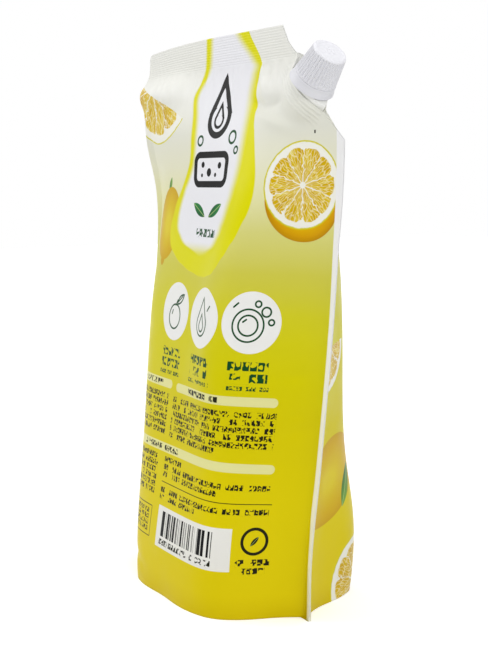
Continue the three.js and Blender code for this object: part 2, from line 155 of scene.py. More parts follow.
floor_corners = np.array([[-1, -1, 0], [1, -1, 0], [1, 1, 0], [-1, 1, 0]]) * FLOOR_HALF
floor_corners[:, 2] = -FLOOR_DROP
floor = mesh_object("floor", floor_corners, [[0, 1, 2, 3]], smooth=False)
floor_finish = bpy.data.materials.new("pale_floor")
floor_finish.use_nodes = True
floor_tree = floor_finish.node_tree
floor_shader = floor_tree.nodes["Principled BSDF"]
floor_shader.inputs["Base Color"].default_value = (FLOOR_PALE, FLOOR_PALE, FLOOR_PALE, 1)
floor_shader.inputs["Roughness"].default_value = 0.9
floor_shader.inputs["Emission Color"].default_value = (1, 1, 1, 1)
floor_way = floor_tree.nodes.new("ShaderNodeVectorMath")
floor_way.operation = "LENGTH"
floor_tree.links.new(floor_tree.nodes.new("ShaderNodeTexCoord").outputs["Object"], floor_way.inputs[0])
floor_fade = floor_tree.nodes.new("ShaderNodeMapRange")
for floor_key, floor_value in zip(
    ("From Min", "From Max", "To Min", "To Max"), (*FLOOR_FADE, FLOOR_GLOW_NEAR, FLOOR_GLOW_FAR)
):
    floor_fade.inputs[floor_key].default_value = floor_value
floor_tree.links.new(floor_way.outputs["Value"], floor_fade.inputs["Value"])
floor_glow = floor_tree.nodes.new("ShaderNodeMath")
floor_glow.operation = "MULTIPLY"
floor_tree.links.new(seen_directly(floor_tree), floor_glow.inputs[0])
floor_tree.links.new(floor_fade.outputs[0], floor_glow.inputs[1])
floor_tree.links.new(floor_glow.outputs[0], floor_shader.inputs["Emission Strength"])
floor.data.materials.append(floor_finish)

# %% [markdown]
# The pouch. Each film starts as a flat strip between two side seals. The soap pushes it out, so a cut
# across it at any height is a curve whose direction is nearly straight in the middle, turns at two soft
# folds, and comes back to the seams. A cloth simulation could find such a shape, but a bent sheet keeps its
# length, so adding up small steps along a direction that turns is simpler and gives every point a fixed
# place on the flat print. Nine heights hold the angles, and a smooth curve joins them.

# %% Sizes of the film
FILM_WIDTH = 170.0
HEIGHT = 288.0
SIDE_SEAL = 6.0
TOP_SEAL = 15.0
FILM_STEP = 0.5  # millimetres between the points at which a cut is worked out
SEAL_HALF = 0.3  # half thickness where both films are welded
HALF_WIDTH = FILM_WIDTH / 2
HALF_FILM = HALF_WIDTH - SIDE_SEAL
FILLED_HEIGHT = HEIGHT - TOP_SEAL

LEVELS = np.array([0, 0.13, 0.29, 0.52, 0.67, 0.77, 0.87, 0.945, 1])  # shares of the filled height
RIGHT_SEAM = {
    "x": [0.835, 0.89, 0.93, 0.965, 0.99, 1, 1, 1, 1],
    "y": [-1.5, -4.5, -2, 2, 2.5, 3, 3, 1.5, 0],
    "turn": [-18, -18, -18, -17, -10, 0, 6, 3, 0],
}
LEFT_SEAM = {
    "x": [-0.765, -0.8, -0.86, -0.93, -0.965, -0.975, -0.995, -1, -1],
    "y": [-16, -14, -11, -6, 1, 2, -2.5, -4.5, 0],
    "turn": [38, 38, 36, 30, 12, 0, -5, 10, 0],
}
BACK_FILM = {
    "side": -1,
    "lean": [-3, -2, -3, -5.5, -3, -1, 1, 0, 0],
    "dip": [0, 0, -2, -9, -9, -9, -7, -4, 0],
    "dip_place": [0.1, 0.1, 0.08, 0.07, 0.13, 0.25, 0.32, 0.33, 0.33],
    "right": [62, 62, 49, 40, 32, 28, 18, 6, 0],
    "right_edge": [58, 34, 20, 10, 8, 12, 10, 4, 0],
    "right_fold": [0.405, 0.405, 0.365, 0.24, 0.28, 0.34, 0.38, 0.43, 0.43],
    "right_soft": [0.12, 0.125, 0.14, 0.09, 0.09, 0.115, 0.15, 0.18, 0.18],
    "left": [-52, -52, -50, -48, -42, -28, -14, -3, 0],
    "left_edge": [-44, -44, -44, -44, -40, -26, -12, 0, 0],
    "left_fold": [-0.57, -0.63, -0.695, -0.835, -0.835, -0.81, -0.785, -0.76, -0.76],
    "left_soft": [0.1, 0.115, 0.125, 0.125, 0.15, 0.18, 0.18, 0.18, 0.18],
}
FRONT_FILM = {
    "side": 1,
    "lean": [-12, -10, -7, -4, -2, -1, 0, 0, 0],
    "dip": [0] * 9,
    "dip_place": [0] * 9,
    "right": [76, 74, 67, 62, 54, 40, 20, 4, 0],
    "right_edge": [66, 64, 60, 54, 46, 30, 12, 2, 0],
    "right_fold": [0.375, 0.325, 0.385, 0.46, 0.48, 0.455, 0.405, 0.38, 0.38],
    "right_soft": [0.09, 0.125, 0.175, 0.2, 0.2, 0.2, 0.2, 0.225, 0.225],
    "left": [-72, -64, -52, -44, -36, -26, -15, -4, 0],
    "left_edge": [-50, -44, -36, -24, -16, -10, -5, -2, 0],
    "left_fold": [-0.405, -0.405, -0.43, -0.43, -0.405, -0.38, -0.43, -0.43, -0.43],
    "left_soft": [0.125, 0.15, 0.2, 0.225, 0.225, 0.225, 0.225, 0.225, 0.225],
}
DIP_WIDTH = 0.17  # valley between the flank and the middle, as a share of half the film
RIGHT_STIFF = (0.835, 0.09)  # film held flat by the right seal: where it starts and how softly
LEFT_STIFF = (0.875, 0.065)
print("Film", FILM_WIDTH, "mm wide,", HEIGHT, "mm high")

# %% Spout place, shared with the frame
SPOUT_X, SPOUT_Y, SPOUT_Z = 61.9, 2.0, 260.1  # where its axis leaves the deck
SLANT = math.sqrt(0.5)  # the axis leans by half a right angle
BASE_HALF_LENGTH = 15.0
BASE_HALF_WIDTH = 7.0
BASE_DEPTH = 10.0
WELD_RIB_PITCH = 2.0
FILM_WALL = 0.35
DECK_PROUD = 2.4  # deck above the film's cut edge
SPOUT_SPAN = 44.0  # film round the spout that is drawn away from its plane


# %% Curves up the pouch
def along_height(values, height):
    """Cubic between neighbouring levels. The slope at each level is that of the line from the level below
    to the level above, and flat at both ends."""
    values = np.asarray(values, float)
    slope = np.zeros_like(values)
    slope[1:-1] = (values[2:] - values[:-2]) / (LEVELS[2:] - LEVELS[:-2])
    level = np.clip(height / FILLED_HEIGHT, 0, 1)
    i = np.clip(np.searchsorted(LEVELS, level, side="right") - 1, 0, len(LEVELS) - 2)
    span = LEVELS[i + 1] - LEVELS[i]
    t = (level - LEVELS[i]) / span
    ends = (2 * t**3 - 3 * t**2 + 1) * values[i] + (3 * t**2 - 2 * t**3) * values[i + 1]
    return ends + ((t**3 - 2 * t**2 + t) * slope[i] + (t**3 - t**2) * slope[i + 1]) * span


def soft_step(t):
    """Smooth change from 0 to 1 round t = 0: half of one plus the hyperbolic tangent."""
    return (1 + np.tanh(t)) / 2


def film_cuts(film, height):
    """Cuts across one film, a row for each height and a column for each step from the right seal to the
    left one. x goes back by the cosine of the angle and y out by its sine, step by step. x is then
    stretched, and y sheared with the square of the way across, so that both end on the left seam."""
    count = round(2 * HALF_FILM / FILM_STEP)
    share = 1 - (2 * np.arange(count) + 1) / count
    z = height[:, None]

    def at(key):
        return along_height(film[key], z)

    right_side = at("right_edge") + (at("right") - at("right_edge")) * soft_step(
        (RIGHT_STIFF[0] - share) / RIGHT_STIFF[1]
    )
    left_side = at("left_edge") + (at("left") - at("left_edge")) * soft_step(
        (LEFT_STIFF[0] + share) / LEFT_STIFF[1]
    )
    lean = at("lean") + at("dip") * np.exp(-(((share - at("dip_place")) / DIP_WIDTH) ** 2))
    angle = np.radians(
        lean
        + (right_side - lean) * soft_step((share - at("right_fold")) / at("right_soft"))
        + (left_side - lean) * soft_step((at("left_fold") - share) / at("left_soft"))
    )
    start = np.zeros((len(height), 1))
    across = np.hstack([start, np.cumsum(np.cos(angle), 1)]) * FILM_STEP
    out = np.hstack([start, np.cumsum(np.sin(angle), 1)]) * FILM_STEP * film["side"]
    right_x = HALF_WIDTH * along_height(RIGHT_SEAM["x"], z) - SIDE_SEAL
    left_x = HALF_WIDTH * along_height(LEFT_SEAM["x"], z) + SIDE_SEAL
    right_y = along_height(RIGHT_SEAM["y"], z)
    left_y = along_height(LEFT_SEAM["y"], z)
    way = np.arange(count + 1) / count
    x = right_x - across * (right_x - left_x) / across[:, -1:]
    y = right_y + out - (right_y + out[:, -1:] - left_y) * way**2
    return x, y


def pick(table, station):
    """Value of a table of film cuts at stations given in millimetres from the middle of the film, on the
    straight line between the two nearest steps."""
    step = np.clip((HALF_FILM - station) / FILM_STEP, 0, table.shape[1] - 1.000001)
    low = step.astype(int)
    part = step - low
    rows = np.arange(len(table))[:, None]
    return table[rows, low] * (1 - part) + table[rows, low + 1] * part


# %% Rows and columns of the film
ROW_BANDS = [(0, 6, 10), (6, 225, 138), (225, FILLED_HEIGHT, 74), (FILLED_HEIGHT, HEIGHT, 72)]
COLUMNS = 138
COLUMN_CROWD = 0.5  # 0 spaces the columns evenly, towards 1 crowds them at the seals
CORNER_RADIUS = 3.0
CUT_SUM = SPOUT_X + SPOUT_Z - DECK_PROUD * math.sqrt(2)  # x and z add up to this all along the cut corner
EAR = np.array([  # height and x of the film's edge between the spout and the top edge
    [266.6, 52.0], [268.4, 53.9], [271.5, 54.9], [273.2, 54.5],
    [275, 52.4], [277, 49.8], [280.5, 46.3], [288, 41.9],
])

heights = np.concatenate(
    [np.linspace(low, high, count, endpoint=False) for low, high, count in ROW_BANDS] + [[HEIGHT]]
)
cut_x = np.where(heights < EAR[0, 0], CUT_SUM - heights, np.interp(heights, EAR[:, 0], EAR[:, 1]))
corner_rise = np.clip(heights - (HEIGHT - CORNER_RADIUS), 0, CORNER_RADIUS)
left_end = -HALF_WIDTH + CORNER_RADIUS - np.sqrt(CORNER_RADIUS**2 - corner_rise**2)
print("Rows:", len(heights), "columns:", COLUMNS + 1)


def seal_turn(seam):
    """Cosine and sine of the angle at which a side seal stands, for each row."""
    turn = np.radians(along_height(seam["turn"], heights))[:, None]
    return np.cos(turn), np.sin(turn)


def film_stations(x_table):
    """Station of each column in each row. The right end is where x meets the cut corner, found by moving
    the station three times by what x still misses."""
    end = np.full((len(heights), 1), HALF_WIDTH)
    for _ in range(3):
        x = pick(x_table, end) + np.maximum(end - HALF_FILM, 0) * seal_turn(RIGHT_SEAM)[0]
        end = np.minimum(end + cut_x[:, None] - x, HALF_WIDTH)
    way = np.linspace(0, 1, COLUMNS + 1)
    way = way - COLUMN_CROWD * np.sin(2 * math.pi * way) / (2 * math.pi)
    return end - (end - left_end[:, None]) * way


def spout_frame(x, z):
    """Way along the weld base and depth below its deck, for points of the film."""
    dx, dz = x - SPOUT_X, z - SPOUT_Z
    return (dx - dz) * SLANT, -(dx + dz) * SLANT


def round_the_base(x, z, room):
    """Least distance of the film from the spout's middle plane: a parabola over the length of the base,
    which fades with the square of the way below it."""
    along, depth = spout_frame(x, z)
    width = (BASE_HALF_WIDTH + room) * (1 - (along / (BASE_HALF_LENGTH + 2 * room)) ** 2)
    below = np.maximum(0, depth - BASE_DEPTH - room) / SPOUT_SPAN
    return width * np.maximum(0, 1 - below) ** 2


def smooth_max(a, b, softness):
    """The larger of two numbers, with the corner where they meet rounded."""
    h = np.clip(0.5 + (a - b) / (2 * softness), 0, 1)
    return b + (a - b) * h + softness * h * (1 - h)


# %% Points of one film
def outward(points, side):
    """Unit normals of a grid of points: across times up, turned to the film's own side."""
    normal = np.cross(np.gradient(points, axis=1), np.gradient(points, axis=0)) * side
    return normal / np.maximum(np.linalg.norm(normal, axis=2, keepdims=True), 1e-9)


SEAL_RIBS = 12  # press marks of the sealing jaws across the top
RIB_HEIGHT = 0.22
WELD_RIB_HEIGHT = 0.45
WELD_RIBS = 4
PUCKERS = 26  # small gathers under the top seal
PUCKER_HEIGHT, PUCKER_REACH = 0.26, 6.0
CALM_FROM, CALM_SOFT = 4, 2  # the gathers fade out this far from the side seals, and how softly
WELD_MARKS_START, WELD_MARKS_HALF = 1.0, 17  # way below the film's cut edge, and half their length
SKIRT_WAVE, SKIRT_TURN, SKIRT_REACH = 0.5, 0.16, 5  # height, angle for each mm, and reach up the film
JOINED_FROM = 250.0  # height from which both films take part in a crease

CREASES = [
    # station and height of both ends, half width, and how far the film stands out (all in mm)
    ((29.0, 273), (37.0, 256), 2.2, -1.3),
    ((25.5, 271), (31.0, 255), 2.0, 1.0),
    ((22.0, 254), (34.0, 250.5), 2.8, -2.1),
    ((34.0, 250.5), (45.0, 254), 2.8, -1.9),
    ((31.0, 266), (35.0, 254), 4.6, 2.1),
    ((30.0, 247), (58.0, 238), 3.0, 0.9),
    ((-21.0, 271), (-26.0, 256), 1.6, 0.5),
    ((-12.0, 271), (-19.0, 240), 1.8, -0.4),
    ((7.0, 271), (5.0, 254), 1.6, 0.5),
    ((57.0, 119.5), (70.0, 122.5), 2.2, -0.5),
    ((60.0, 91.0), (76.0, 97.5), 2.4, -0.5),
    ((62.0, 101.0), (71.0, 103.0), 2.0, -0.35),
    ((53.0, 132.0), (78.0, 141.0), 3.0, 0.35),
    ((-58.0, 17.0), (-30.0, 9.0), 3.0, -0.7),
    ((-70.0, 263.0), (-50.0, 258.0), 3.0, 0.5),
]
BULGES = [
    # side, station and height of the middle, half width and half height, and how far it stands out (in mm)
    (-1, -5, 0, 38, 40, 2.2),
    (1, 20, 38, 42, 42, 3.6),
]


def near_line(station, z, start, end, half):
    """Bell curve of the distance to a straight piece of line, which thins out towards both of its ends."""
    way = (end[0] - start[0], end[1] - start[1])
    share = ((station - start[0]) * way[0] + (z - start[1]) * way[1]) / (way[0] ** 2 + way[1] ** 2)
    share = np.clip(share, 0, 1)
    off = np.hypot(station - start[0] - share * way[0], z - start[1] - share * way[1])
    return np.exp(-((off / half) ** 2)) * (0.25 + 0.75 * np.sin(math.pi * share))


def relief(station, z, x, side):
    """How far the film stands out from its smooth shape, in millimetres, at each of its points: narrow
    grooves across the top seal, gathers that fade below it, marks of the weld base's ribs, and creases.
    Just under the seal both films bend the same way, so what goes out on one goes in on the other."""
    up_seal = np.clip((z - FILLED_HEIGHT) / TOP_SEAL, 0, 1)
    grooves = ((1 + np.cos(2 * math.pi * SEAL_RIBS * up_seal)) / 2) ** 3 * (z > FILLED_HEIGHT)
    below = np.maximum(FILLED_HEIGHT - z, 0) / PUCKER_REACH
    wander = 1.7 * np.sin(station * 0.21) + 1.1 * np.sin(station * 0.083 + 1.0)
    gathers = np.sin(2 * math.pi * PUCKERS * station / FILM_WIDTH + wander) * below * np.exp(1 - below)
    calm = soft_step((HALF_FILM - CALM_FROM - np.abs(station)) / CALM_SOFT)
    along, depth = spout_frame(x, z)
    band = np.clip((depth - DECK_PROUD - WELD_MARKS_START) / (WELD_RIBS * WELD_RIB_PITCH), 0, 1)
    inside = soft_step(WELD_MARKS_HALF - np.abs(along))
    welds = ((1 - np.cos(2 * math.pi * WELD_RIBS * band)) / 2) ** 1.5 * inside
    skirt = np.sin(station * SKIRT_TURN) * np.exp(-z / SKIRT_REACH)
    total = WELD_RIB_HEIGHT * welds - RIB_HEIGHT * grooves
    total = total + side * PUCKER_HEIGHT * gathers * calm * (1 - inside)
    total = total + SKIRT_WAVE * skirt
    for of_side, at_station, at_height, half_wide, half_high, height in BULGES:
        off = ((station - at_station) / half_wide) ** 2 + ((z - at_height) / half_high) ** 2
        total = total + (side == of_side) * height * np.exp(-off)
    for start, end, half, height in CREASES:
        if side < 0 or start[1] > JOINED_FROM:
            total = total - side * height * near_line(station, z, start, end, half)
    return total


# Shift of both films near the left seal, just under the top seal
PUFF_SHIFT, PUFF_HEIGHT, PUFF_SPREAD = -5.0, 265.0, 8.0
PUFF_STATION, PUFF_SOFT = -48, 10


def left_puff(station, z):
    """Shift in y of both films: a bell curve up the pouch, faded in towards the left seal."""
    up = np.exp(-(((z - PUFF_HEIGHT) / PUFF_SPREAD) ** 2))
    return PUFF_SHIFT * up * soft_step((PUFF_STATION - station) / PUFF_SOFT)


BOW_RISE, BOW_PEAK = 1.8, -4.0  # rise of the top edge, and the x where it is highest
BOW_FALL, BOW_REACH, BOW_POWER = 3.5, 81.6, 2.5  # its fall towards the left
BOW_START = FILLED_HEIGHT - 50


def top_bow(x, z):
    """The top seal's edge isn't straight: it is highest near the middle and falls away to the left by the
    power of 2.5. The rise starts well below the seal."""
    left = np.clip((BOW_PEAK - x) / BOW_REACH, 0, None) ** BOW_POWER
    return (BOW_RISE - BOW_FALL * left) * np.clip((z - BOW_START) / (HEIGHT - BOW_START), 0, 1) ** 2


def film_points(film):
    """Grid of one film's outer face, with the stations beside it: the smooth cut, opened round the weld
    base, half a wall out, and then moved along its normal by the relief."""
    x_table, y_table = film_cuts(film, heights)
    station = film_stations(x_table)
    x, y = pick(x_table, station), pick(y_table, station)
    for over, seam, end in (
        (np.maximum(station - HALF_FILM, 0), RIGHT_SEAM, 1),
        (np.maximum(-HALF_FILM - station, 0), LEFT_SEAM, -1),
    ):
        cosine, sine = seal_turn(seam)
        x = x + end * over * cosine
        y = y + over * sine
    z = np.repeat(heights[:, None], COLUMNS + 1, 1)
    base = round_the_base(x, z, FILM_WALL + WELD_RIB_HEIGHT)
    reach = film["side"] * (y - SPOUT_Y)
    opened = SPOUT_Y + film["side"] * smooth_max(reach, base, 1.5)
    y = np.where(base > 0, opened, y) + film["side"] * SEAL_HALF + left_puff(station, z)
    points = np.stack([x, y, z], 2)
    points = points + outward(points, film["side"]) * relief(station, z, x, film["side"])[..., None]
    points[..., 2] = np.maximum(points[..., 2] + top_bow(x, z), 0)
    return points, station


# %% Shell of the pouch
FOOT_STEPS = [(0.5, 0.0), (1.2, 0.0), (2.6, 1.8), (5.0, 3.2), (8.5, 2.4), (12.0, 0.0)]  # way in, lift
FOOT_SPINE = 30.0
LEAST_HALF = 0.2  # half of the least gap between the outer faces of both films
FOOT_OPEN = 15.0  # half gap between the films from which the moat has its full depth
EDGE_RECESS = 1.0  # how far inside the cut corner the film stops and the spout's deck shows


def cut_edge(back_edge, front_edge):
    """Four columns that close the cut corner: the wall of each film turned in, and a floor between them
    below the spout's deck. Where the films touch, all four lie in the thin edge."""
    half_gap = np.linalg.norm(front_edge - back_edge, axis=1, keepdims=True) / 2
    across = (back_edge - front_edge) / (2 * half_gap)
    wall = np.minimum(FILM_WALL, half_gap * 0.5)
    open_here = np.clip((half_gap - 2 * FILM_WALL) / 1.5, 0, 1)
    inward = np.array([-SLANT, 0, -SLANT]) * EDGE_RECESS * open_here
    front_lip, back_lip = front_edge + across * wall, back_edge - across * wall
    return [front_lip, front_lip + inward, back_lip + inward, back_lip]


def foot_rings(outline, mate):
    """Rings of the folded foot, each the outline moved towards a line in the middle of the foot, and
    lifted where the films are apart: a thin skirt, a shallow moat behind it, and the part that stands."""
    middle = (outline[:, 1] + mate[:, 1]) / 2
    aim = np.stack([np.clip(outline[:, 0], -FOOT_SPINE, FOOT_SPINE), middle, 0 * middle], 1)
    towards = (aim - outline) / np.linalg.norm(aim - outline, axis=1, keepdims=True)
    gap = np.abs(outline[:, 1] - mate[:, 1]) / 2
    rings = []
    for way_in, lift in reversed(FOOT_STEPS):
        ring = outline + towards * way_in
        ring[:, 2] = lift * np.minimum(1, gap / FOOT_OPEN)
        rings.append(ring)
    return rings


def shell_mesh():
    """Closed shell of the pouch: rings of back film, front film and cut edge, stacked on the foot. Returns
    points, faces, the film each face belongs to, and a flat place (station, height) for each point."""
    back, back_station = film_points(BACK_FILM)
    front, front_station = film_points(FRONT_FILM)
    middle = (back[..., 1] + front[..., 1]) / 2
    half = np.maximum((front[..., 1] - back[..., 1]) / 2, LEAST_HALF)
    back[..., 1], front[..., 1] = middle - half, middle + half
    edge = np.stack(cut_edge(back[:, 0], front[:, 0]), 1)
    rings = np.concatenate([back, front[:, ::-1], edge], 1)
    rings[..., 2] = np.maximum(rings[..., 2], 0)
    stations = np.concatenate(
        [back_station, front_station[:, ::-1], np.repeat(back_station[:, :1], 4, 1)], 1
    )
    size = rings.shape[1]
    order = np.arange(size)
    mate = np.where(order < 2 * (COLUMNS + 1), 2 * COLUMNS + 1 - order, order)
    bottom = rings[0]
    bottom_mate = bottom[mate]
    bottom_mate[2 * (COLUMNS + 1):] = bottom[0] + bottom[2 * COLUMNS + 1] - bottom[2 * (COLUMNS + 1):]
    foot = foot_rings(bottom, bottom_mate)
    points = np.concatenate([*foot, rings.reshape(-1, 3)])
    foot_count = len(foot)
    flat = np.concatenate([
        np.tile(np.stack([stations[0], np.zeros(size)], 1), (foot_count, 1)),
        np.stack([stations, np.repeat(heights[:, None], size, 1)], 2).reshape(-1, 2),
    ])
    rows = foot_count + len(heights)
    row, column = np.divmod(np.arange((rows - 1) * size), size)
    a = row * size + column
    b = row * size + (column + 1) % size
    faces = np.stack([a, b, b + size, a + size], 1)
    owner = np.where(column < COLUMNS + 1, 0, 1)
    owner = np.where(row < foot_count, 2, owner)
    caps = []
    for base, turned in ((0, True), ((rows - 1) * size, False)):
        i = np.arange(COLUMNS)
        j = 2 * COLUMNS + 1 - i
        strip = np.stack([base + i, base + i + 1, base + j - 1, base + j], 1)
        last = np.array([[base, base + j[0], base + j[0] + 1, base + j[0] + 2],
                         [base, base + j[0] + 2, base + j[0] + 3, base + j[0] + 4]])
        strip = np.concatenate([strip, last])
        caps.append(strip[:, ::-1] if turned else strip)
    faces = np.concatenate([faces, *caps])
    owner = np.concatenate([owner, np.full(len(caps[0]), 2), np.full(len(caps[1]), 0)])
    return points * MM, faces, owner, flat * MM


def set_uv(mesh, name, per_point):
    """UV map from one pair of numbers for each point of the mesh."""
    corner_point = np.empty(len(mesh.loops), int)
    mesh.loops.foreach_get("vertex_index", corner_point)
    mesh.uv_layers.new(name=name).data.foreach_set("uv", per_point[corner_point].ravel())


shell_points, shell_faces, shell_owner, shell_flat = shell_mesh()
film_pouch = mesh_object("film_pouch", shell_points, shell_faces.tolist())
set_uv(film_pouch.data, "film", shell_flat)
film_pouch.data.polygons.foreach_set("material_index", shell_owner.astype(np.int32))
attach(film_pouch, "pouch")
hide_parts("pouch")
print("Film pouch:", len(shell_faces), "faces")

# %% [markdown]
# The closure is three mouldings on one slanted axis. Each is a turned shape, so a profile of radius and
# height is swept round the axis, and the details are changes of the radius with the angle: grip grooves on
# the cap, a screw thread on the neck, a boat shape for the weld base.

# %% Turned shapes
TURN_COLUMNS = 360
SPOUT_ORIGIN = np.array([SPOUT_X, SPOUT_Y, SPOUT_Z])


def on_spout_axis(radius, height, angle):
    """Points in row frame millimetres: radius and angle about the spout's axis, height along it."""
    u, v = radius * np.cos(angle), radius * np.sin(angle)
    return SPOUT_ORIGIN + np.stack(
        [u * SLANT + height * SLANT, v, -u * SLANT + height * SLANT], -1
    )


def loop_faces(rows, columns, close_rows):
    """Quads of a grid whose columns run round, and whose rows also close if asked."""
    last = rows if close_rows else rows - 1
    row, column = np.divmod(np.arange(last * columns), columns)
    a, b = row * columns + column, row * columns + (column + 1) % columns
    up = ((row + 1) % rows - row) * columns
    return np.stack([a, b, b + up, a + up], 1)


def rounded(profile, radius, steps=5):
    """Profile whose corners are rounded: each corner becomes a short curve that starts and ends at most
    the given radius away from it."""
    profile = np.asarray(profile, float)
    result = [profile[:1]]
    t = np.linspace(0, 1, steps)[:, None]
    for before, corner, after in zip(profile[:-2], profile[1:-1], profile[2:]):
        in_way, out_way = before - corner, after - corner
        in_length, out_length = np.linalg.norm(in_way), np.linalg.norm(out_way)
        start = corner + in_way * min(radius / in_length, 0.45)
        end = corner + out_way * min(radius / out_length, 0.45)
        result.append((1 - t) ** 2 * start + 2 * t * (1 - t) * corner + t**2 * end)
    result.append(profile[-1:])
    return np.concatenate(result)


def refined(profile, longest):
    """Profile with points added so that no step is longer than the given one."""
    result = [profile[:1]]
    for before, after in zip(profile[:-1], profile[1:]):
        count = max(1, math.ceil(np.linalg.norm(after - before) / longest))
        result.append(before + (after - before) * np.linspace(0, 1, count + 1)[1:, None])
    return np.concatenate(result)


def turned_piece(name, profile, body, change=None, closed=False):
    """Solid turned about the spout's axis. The profile runs from the bottom of the axis outwards and up
    (or round, if closed). change gives what is added to the radius at each angle and height."""
    angle = np.linspace(0, 2 * math.pi, TURN_COLUMNS, endpoint=False)[None, :]
    radius, height = profile[:, :1], profile[:, 1:]
    radius = radius + (change(radius, height, angle) if change else 0 * angle)
    points = on_spout_axis(radius, height + 0 * angle, angle + 0 * height)
    faces = loop_faces(len(profile), TURN_COLUMNS, closed).tolist()
    if not closed:
        faces.append(list(range(TURN_COLUMNS))[::-1])
        faces.append(list(range((len(profile) - 1) * TURN_COLUMNS, len(profile) * TURN_COLUMNS)))
    made = mesh_object(name, points.reshape(-1, 3) * MM, faces)
    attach(made, body)
    print(name + ":", len(faces), "faces")
    return made


# %% Screw cap
CAP_BOTTOM, CAP_TOP = 5.2, 20.3  # heights on the spout's axis, above the deck
CAP_BOTTOM_RADIUS, CAP_TOP_RADIUS = 10.6, 8.6
CAP_BORE = 7.35
CAP_CEILING = CAP_TOP - 1.6
PLUG_RADIUS, PLUG_BORE, PLUG_END = 4.7, 3.5, 15.2
KNURLS = 36
KNURL_DEPTH = 0.5
KNURL_START, KNURL_END = CAP_BOTTOM + 0.9, CAP_TOP - 1.1

cap_profile = refined(rounded([
    (0.02, CAP_CEILING), (PLUG_BORE, CAP_CEILING), (PLUG_BORE, PLUG_END), (PLUG_RADIUS, PLUG_END),
    (PLUG_RADIUS, CAP_CEILING), (CAP_BORE, CAP_CEILING), (CAP_BORE, CAP_BOTTOM),
    (CAP_BOTTOM_RADIUS, CAP_BOTTOM), (CAP_TOP_RADIUS, CAP_TOP - 1.1), (CAP_TOP_RADIUS - 0.35, CAP_TOP - 0.3),
    (CAP_TOP_RADIUS - 1.1, CAP_TOP), (6.7, CAP_TOP), (6.1, CAP_TOP - 0.28), (2.7, CAP_TOP - 0.3),
    (2.3, CAP_TOP - 0.1), (1.9, CAP_TOP - 0.1), (1.5, CAP_TOP - 0.4), (0.02, CAP_TOP - 0.3),
], 0.3), 0.4)


def knurls(radius, height, angle):
    """Grip grooves: the radius falls by a narrow valley 36 times round, between the plain bottom band and
    the rounded top edge, and only on the outside."""
    wave = (1 + np.cos(KNURLS * angle)) / 2
    ends = soft_step((height - KNURL_START) / 0.2) * soft_step((KNURL_END - height) / 0.35)
    outside = radius > CAP_TOP_RADIUS - 1.0
    return -KNURL_DEPTH * wave**2 * ends * outside


screw_cap = turned_piece("screw_cap_shell", cap_profile, "cap", knurls)
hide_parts("screw_cap")

# %% Tamper ring
RING_BOTTOM, RING_TOP = 0.5, 5.15
RING_BOTTOM_RADIUS, RING_WAIST_RADIUS, RING_TOP_RADIUS = 11.7, 10.95, 10.72
RING_LIP_RADIUS = 6.6
RING_INNER = 9.5

ring_profile = refined(rounded([
    (RING_LIP_RADIUS, 2.2), (RING_LIP_RADIUS, 1.5), (RING_INNER, RING_BOTTOM + 0.2),
    (RING_INNER + 0.5, RING_BOTTOM), (RING_BOTTOM_RADIUS, RING_BOTTOM), (RING_WAIST_RADIUS, 3.2),
    (RING_TOP_RADIUS, RING_TOP), (RING_INNER, RING_TOP), (RING_INNER, 3.0), (RING_LIP_RADIUS, 3.0),
    (RING_LIP_RADIUS, 2.2),
], 0.3)[:-1], 0.5)
tamper_ring = turned_piece("tamper_collar", ring_profile, "ring", closed=True)
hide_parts("tamper_ring")

# %% Spout
NECK_RADIUS, BORE_RADIUS = 6.3, 5.0
NECK_TOP = 18.4
BEAD_START, BEAD_END, BEAD_RADIUS = 3.3, 4.5, 7.2
THREAD_START, THREAD_LEAD, THREAD_TURNS = 7.4, 4.0, 2.0
THREAD_HEIGHT, THREAD_WIDTH = 0.75, 1.3

spout_profile = refined(rounded([
    (BORE_RADIUS, 0), (BORE_RADIUS, -BASE_DEPTH), (BASE_HALF_LENGTH, -BASE_DEPTH), (BASE_HALF_LENGTH, 0),
    (NECK_RADIUS, 0), (NECK_RADIUS, BEAD_START), (BEAD_RADIUS, BEAD_START), (BEAD_RADIUS, BEAD_START + 0.3),
    (NECK_RADIUS, BEAD_END), (NECK_RADIUS, NECK_TOP), (BORE_RADIUS, NECK_TOP), (BORE_RADIUS, 0),
], 0.3)[:-1], 0.45)


def spout_change(radius, height, angle):
    """Weld base: its round radius becomes that of a boat, two arcs that meet in points, with ribs round it.
    Neck: a ridge whose middle climbs by the lead each turn, faded in and out at its ends."""
    half_arc = (BASE_HALF_LENGTH**2 + BASE_HALF_WIDTH**2) / (2 * BASE_HALF_WIDTH)
    sine = np.abs(np.sin(angle))
    shift = half_arc - BASE_HALF_WIDTH
    boat = -shift * sine + np.sqrt(shift**2 * sine**2 + half_arc**2 - shift**2)
    share = np.clip((radius - NECK_RADIUS) / (BASE_HALF_LENGTH - NECK_RADIUS), 0, 1)
    base = (height < 0.01) * (radius > NECK_RADIUS + 0.01)
    ribs = 0.4 * (np.sin(math.pi * height) ** 2) * (height < -0.2) * (share > 0.98)
    turn = (height - THREAD_START) / THREAD_LEAD
    nearest = turn - angle / (2 * math.pi)
    off = (nearest - np.round(nearest)) * THREAD_LEAD
    lap = np.clip(np.round(nearest) + angle / (2 * math.pi), 0, THREAD_TURNS)
    fade = np.clip(np.minimum(lap, THREAD_TURNS - lap) * 6, 0, 1)
    ridge = THREAD_HEIGHT * np.clip(1.4 * (1 - np.abs(off) / (THREAD_WIDTH / 2)), 0, 1) * fade
    neck = (np.abs(radius - NECK_RADIUS) < 0.01) * (height > THREAD_START - 1) * (height < NECK_TOP - 1)
    return base * (share * (boat - BASE_HALF_LENGTH) + ribs) + neck * ridge


spout = turned_piece("spout_moulding", spout_profile, "pouch", spout_change, closed=True)
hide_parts("spout")

